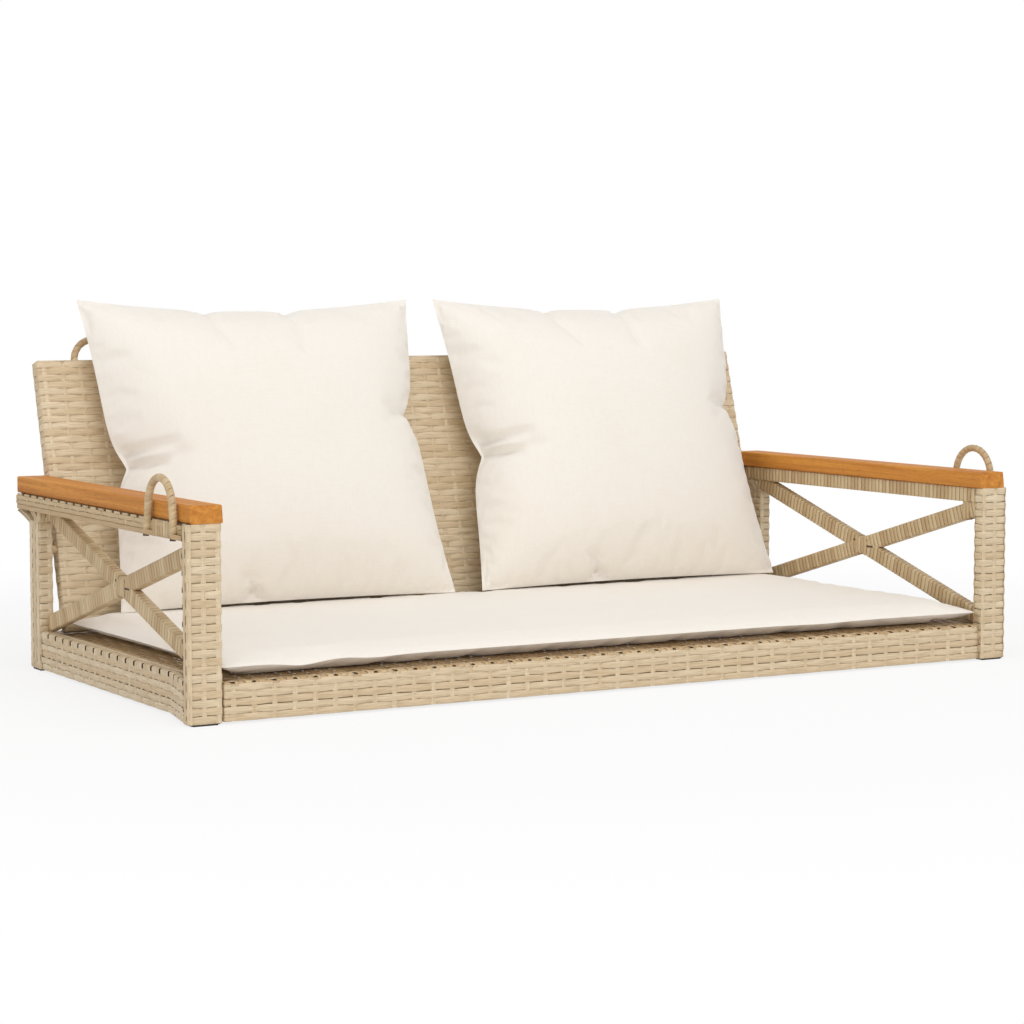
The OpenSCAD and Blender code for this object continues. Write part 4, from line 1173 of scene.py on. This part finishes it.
def swell(piece, points, seam, cap):
    """Points of a cover after its filling has pushed for a while against the held seam."""
    scene = bpy.context.scene
    held = piece.vertex_groups.new(name="seam")
    held.add(seam.tolist(), 1.0, "REPLACE")
    cloth = piece.modifiers.new("filling", "CLOTH")
    fabric = cloth.settings
    fabric.quality = 4
    fabric.mass = 0.2
    fabric.tension_stiffness = fabric.compression_stiffness = 12
    fabric.shear_stiffness = 6
    fabric.bending_stiffness = 0.6
    fabric.use_pressure = True
    fabric.uniform_pressure_force = 4
    fabric.shrink_min = -0.015
    fabric.vertex_group_mass = "seam"
    fabric.effector_weights.gravity = 0
    frames = 20
    cloth.point_cache.frame_start, cloth.point_cache.frame_end = 1, frames
    for number in range(1, frames + 1):
        scene.frame_set(number)
    done = piece.evaluated_get(bpy.context.evaluated_depsgraph_get())
    moved = np.empty(len(points) * 3, np.float32)
    done.data.vertices.foreach_get("co", moved)
    piece.modifiers.remove(cloth)
    piece.vertex_groups.remove(held)
    scene.frame_set(1)
    move = moved.reshape(-1, 3) - points
    far = np.linalg.norm(move, axis=1, keepdims=True)
    if not np.isfinite(far).all():
        raise RuntimeError("the cloth of " + piece.name + " came apart")
    return points + move * np.minimum(1, cap / np.maximum(far, 1e-9))


def lay_cover(piece, points, body, node):
    """Sets the final points of a cover and says what it is."""
    piece.data.vertices.foreach_set("co", points.astype(np.float32).ravel())
    piece.data.update()
    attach(piece, body)
    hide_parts(node)


class BENCH_OT_cushions(bpy.types.Operator):
    """Sews the seat cushion and the two back cushions"""

    bl_idname = "bench.cushions"
    bl_label = "Cushions"

    def execute(self, context):
        sizes = context.scene.bench_sizes
        self.seat(sizes)
        for word in SIDES:
            self.pillow(sizes, word)
        return {"FINISHED"}

    def seat(self, sizes):
        """Thin cushion with a knife edge. Its seam dips a little where the front is slack."""
        lo, hi = span("seat_cushion")
        middle, half = (lo + hi) / 2, (hi - lo) / 2
        crown, sloped = 14 * MM, 44 * MM
        u, v = np.meshgrid(spread(sizes.cloth_cells), spread(sizes.cloth_cells // 2), indexing="ij")
        x = u * (half[0] - 6 * MM * (1 - v * v))
        y = middle[1] + v * (half[1] - 7 * MM * (1 - u ** 4))
        slack = sum(depth * np.exp(-((x / MM - place) / wide) ** 2) for place, wide, depth in DIPS)
        front = np.clip(-v, 0, 1) ** 8
        z = hi[2] - crown - slack * front * MM
        upper = np.stack([x, y, z + crown * dome(u, v, (24, 10))], -1)
        inside = np.minimum((1 - np.abs(u)) * half[0], (1 - np.abs(v)) * half[1])
        slope = 1 - np.clip(1 - inside / sloped, 0, 1) ** 1.4
        under = np.stack([x, y, z - (z - lo[2]) * slope], -1)
        piece, points, seam = sewn("seat_cushion_cover", upper, under)
        swollen = swell(piece, points, seam, 3 * MM)
        # It neither sags below its own shape nor rises into the back cushions
        swollen[:, 2] = np.clip(swollen[:, 2], points[:, 2], np.maximum(points[:, 2], hi[2] - 0.2 * MM))
        lay_cover(piece, swollen, "seat_pad", "seat_cushion")

    def pillow(self, sizes, word):
        """Full cushion that leans on the back panel, with gathered seams and a few folds."""
        node = word + "_back_cushion"
        middle_x = sum(span(node))[0] / 2
        foot_y, foot_z = BACK[0][1] - 50 * MM, span("seat_cushion")[1][2] + 0.3 * MM
        sin, cos = math.sin(sizes.pillow_lean), math.cos(sizes.pillow_lean)
        w, h = sizes.pillow_w / 2, sizes.pillow_h / 2

        def room(y):
            """Depth behind the seam before the cover meets the back panel."""
            seam_y, seam_z = foot_y + y * sin, foot_z + y * cos
            rise = seam_z - BACK[0][2] - BACK_DEPTH * math.sin(sizes.lean)
            face = BACK[0][1] + rise * math.tan(sizes.lean)
            behind = (face - seam_y) * math.cos(sizes.lean) / math.cos(sizes.pillow_lean - sizes.lean)
            return behind - 0.3 * MM

        def place(x, d, y):
            """From across, through and up the cushion to space."""
            return line_of(middle_x + x, foot_y + d * cos + y * sin, foot_z - d * sin + y * cos)

        def unplace(points):
            """From space back to across, through and up the cushion."""
            across, up = points[:, 1] - foot_y, points[:, 2] - foot_z
            return points[:, 0] - middle_x, across * cos - up * sin, across * sin + up * cos

        u, v = np.meshgrid(spread(sizes.cloth_cells), spread(sizes.cloth_cells), indexing="ij")
        # How far the seams are drawn in, in millimetres: the sides, the foot and the top
        gathered = np.where(u < 0, gather(v, (-0.1,), 20), gather(v, (0.19,), 20))
        sides = 16 * (1 - v * v) + np.abs(u) ** 6 * gathered
        foot = 3.5 * (1 - u * u)
        top = 17 * (1 - u * u) + np.abs(v) ** 6 * gather(u, (-0.28, 0.22), 7, 0.06)
        x, y = u * (w - sides * MM), v * (h - np.where(v < 0, foot, top) * MM) + h
        crown, before, behind = dome(u, v, (2.6, 2.6)), 76 * MM, 50 * MM
        upper = place(x, -before * crown, y)
        under = place(x, np.minimum(behind * crown, room(y)), y)
        piece, points, seam = sewn(node.replace("cushion", "cushion_cover"), upper, under)
        swollen = swell(piece, points, seam, 7 * MM)
        # The foot doesn't swell down into the seat cushion
        swollen[:, 2] = np.maximum(swollen[:, 2], np.minimum(points[:, 2], foot_z + 15 * MM))
        x, d, y = unplace(swollen)
        depth = sum(crease(x, y, *fold) for fold in FOLDS) * sizes.fold
        depth = np.minimum(depth, 0.97 * np.abs(d))
        d = np.where(d < 0, d + depth, d - 0.5 * depth)
        lay_cover(piece, place(x, np.minimum(d, np.maximum(room(y), 0)), y), word + "_pillow", node)


# Camera, solved from the straight edges in the photo: its place, with its distance from the face of
# the front posts, its tilt down and its turn in degrees, and its focal length in pixels
CAMERA_PLACE = (-1.7984, POST[0][1] - 2.8451, 0.4919)
CAMERA_DOWN, CAMERA_TURN = 4.61, -29.78
FOCAL_PX, PICTURE_PX = 2745.6, 1024
SENSOR_MM = 36

# Name, place and power of each soft lamp, their size and what they are turned to, the strength of
# the light from all round, and how far the floor reaches
LAMPS = (("front_lamp", (-0.6, -4.3, 1.7), 57), ("left_lamp", (-4.0, -0.8, 0.9), 26),
         ("top_lamp", (0.2, -0.8, 4.0), 48))
LAMP_SIZE = 3.0
LIT_POINT = Vector((0, 0, 0.2))
ROUND_LIGHT = 0.58
FLOOR_REACH = 12
WHITE = (1, 1, 1, 1)


class BENCH_OT_stage(bpy.types.Operator):
    """Sets the camera, the pale floor and the soft lamps"""

    bl_idname = "bench.stage"
    bl_label = "Camera, floor and light"

    def execute(self, context):
        context.scene.view_settings.view_transform = "Standard"
        self.camera(context.scene)
        self.floor(context.scene)
        self.world(context.scene)
        self.lamps(context.scene)
        return {"FINISHED"}

    def camera(self, scene):
        """The photo's view of the bench."""
        camera = bpy.data.cameras.new("photo_camera")
        camera.sensor_width = SENSOR_MM
        camera.lens = SENSOR_MM * FOCAL_PX / PICTURE_PX
        eye = bpy.data.objects.new("photo_camera", camera)
        eye.location = CAMERA_PLACE
        eye.rotation_euler = (math.radians(90 - CAMERA_DOWN), 0, math.radians(CAMERA_TURN))
        scene.collection.objects.link(eye)
        scene.camera = eye

    def floor(self, scene):
        """A floor that reaches past every view of the bench."""
        mesh = bpy.data.meshes.new("floor")
        corners = rectangle((-FLOOR_REACH, -FLOOR_REACH), (FLOOR_REACH, FLOOR_REACH))
        mesh.from_pydata([(x, y, 0) for x, y in corners], [], [(0, 1, 2, 3)])
        mesh.materials.append(self.floor_finish())
        floor = bpy.data.objects.new("floor", mesh)
        scene.collection.objects.link(floor)

    def world(self, scene):
        """Even light from all round, white to the eye."""
        world = bpy.data.worlds.new("studio")
        scene.world = world
        world.use_nodes = True
        tree = world.node_tree
        ground = tree.nodes["Background"]
        ground.inputs["Color"].default_value = WHITE
        ground.inputs["Strength"].default_value = ROUND_LIGHT
        white = add(tree, "ShaderNodeBackground", {"Color": WHITE, "Strength": 1.0})
        mix = add(tree, "ShaderNodeMixShader",
                  links={0: self.seen_by_eye(tree), 1: ground.outputs["Background"],
                         2: white.outputs["Background"]})
        tree.links.new(mix.outputs["Shader"], tree.nodes["World Output"].inputs["Surface"])

    def lamps(self, scene):
        """Square soft lamps."""
        for name, place, power in LAMPS:
            lamp = bpy.data.lights.new(name, "AREA")
            lamp.size, lamp.energy = LAMP_SIZE, power
            holder = bpy.data.objects.new(name, lamp)
            holder.location = place
            holder.rotation_euler = (LIT_POINT - Vector(place)).to_track_quat("-Z", "Y").to_euler()
            scene.collection.objects.link(holder)

    def seen_by_eye(self, tree):
        """1 where the camera looks straight at it, or through a reflection."""
        rays = add(tree, "ShaderNodeLightPath")
        seen = add(tree, "ShaderNodeMath", links={0: rays.outputs["Is Camera Ray"],
                                                  1: rays.outputs["Is Glossy Ray"]}, operation="MAXIMUM")
        return seen.outputs["Value"]

    def floor_finish(self):
        """Painted studio floor: white to the eye, with a faint shadow round the bench."""
        material, tree, shader = finish_named("studio floor, painted white")
        shader.inputs["Base Color"].default_value = (0.86, 0.86, 0.86, 1)
        shader.inputs["Roughness"].default_value = 0.9
        shader.inputs["Specular IOR Level"].default_value = 0.0
        place = add(tree, "ShaderNodeTexCoord")
        far = add(tree, "ShaderNodeVectorMath", links={0: place.outputs["Object"]}, operation="LENGTH")
        fade = add(tree, "ShaderNodeMapRange",
                   {"From Min": 0.75, "From Max": 1.6, "To Min": 0.8, "To Max": 1.0},
                   {"Value": far.outputs["Value"]}, interpolation_type="SMOOTHSTEP")
        amount = add(tree, "ShaderNodeMath", links={0: self.seen_by_eye(tree), 1: fade.outputs["Result"]},
                     operation="MULTIPLY")
        glow = add(tree, "ShaderNodeEmission", {"Color": WHITE, "Strength": 1.0})
        mix = add(tree, "ShaderNodeMixShader",
                  links={0: amount.outputs["Value"], 1: shader.outputs["BSDF"],
                         2: glow.outputs["Emission"]})
        tree.links.new(mix.outputs["Shader"], tree.nodes["Material Output"].inputs["Surface"])
        return material


class BENCH_PT_panel(bpy.types.Panel):
    """Lists the steps that build the bench"""

    bl_idname = "BENCH_PT_panel"
    bl_label = "Hanging bench"
    bl_space_type = "VIEW_3D"
    bl_region_type = "UI"
    bl_category = "Bench"

    def draw(self, context):
        for group in (context.scene.bench_sizes, context.scene.bench_colours):
            for name in group.__annotations__:
                self.layout.prop(group, name)
        for step in STEPS:
            self.layout.operator(step.bl_idname)


STEPS = (BENCH_OT_stage, BENCH_OT_finishes, BENCH_OT_posts, BENCH_OT_aprons, BENCH_OT_rails,
         BENCH_OT_braces, BENCH_OT_seat, BENCH_OT_back, BENCH_OT_loops, BENCH_OT_cushions)
CLASSES = (Sizes, Colours) + STEPS + (BENCH_PT_panel,)


def register():
    for cls in CLASSES:
        bpy.utils.register_class(cls)
    bpy.types.Scene.bench_sizes = PointerProperty(type=Sizes)
    bpy.types.Scene.bench_colours = PointerProperty(type=Colours)


def unregister():
    del bpy.types.Scene.bench_sizes
    del bpy.types.Scene.bench_colours
    for cls in reversed(CLASSES):
        bpy.utils.unregister_class(cls)


def main():
    register()
    for step in STEPS:
        group, name = step.bl_idname.split(".")
        getattr(getattr(bpy.ops, group), name)()


if __name__ == "__main__":
    main()
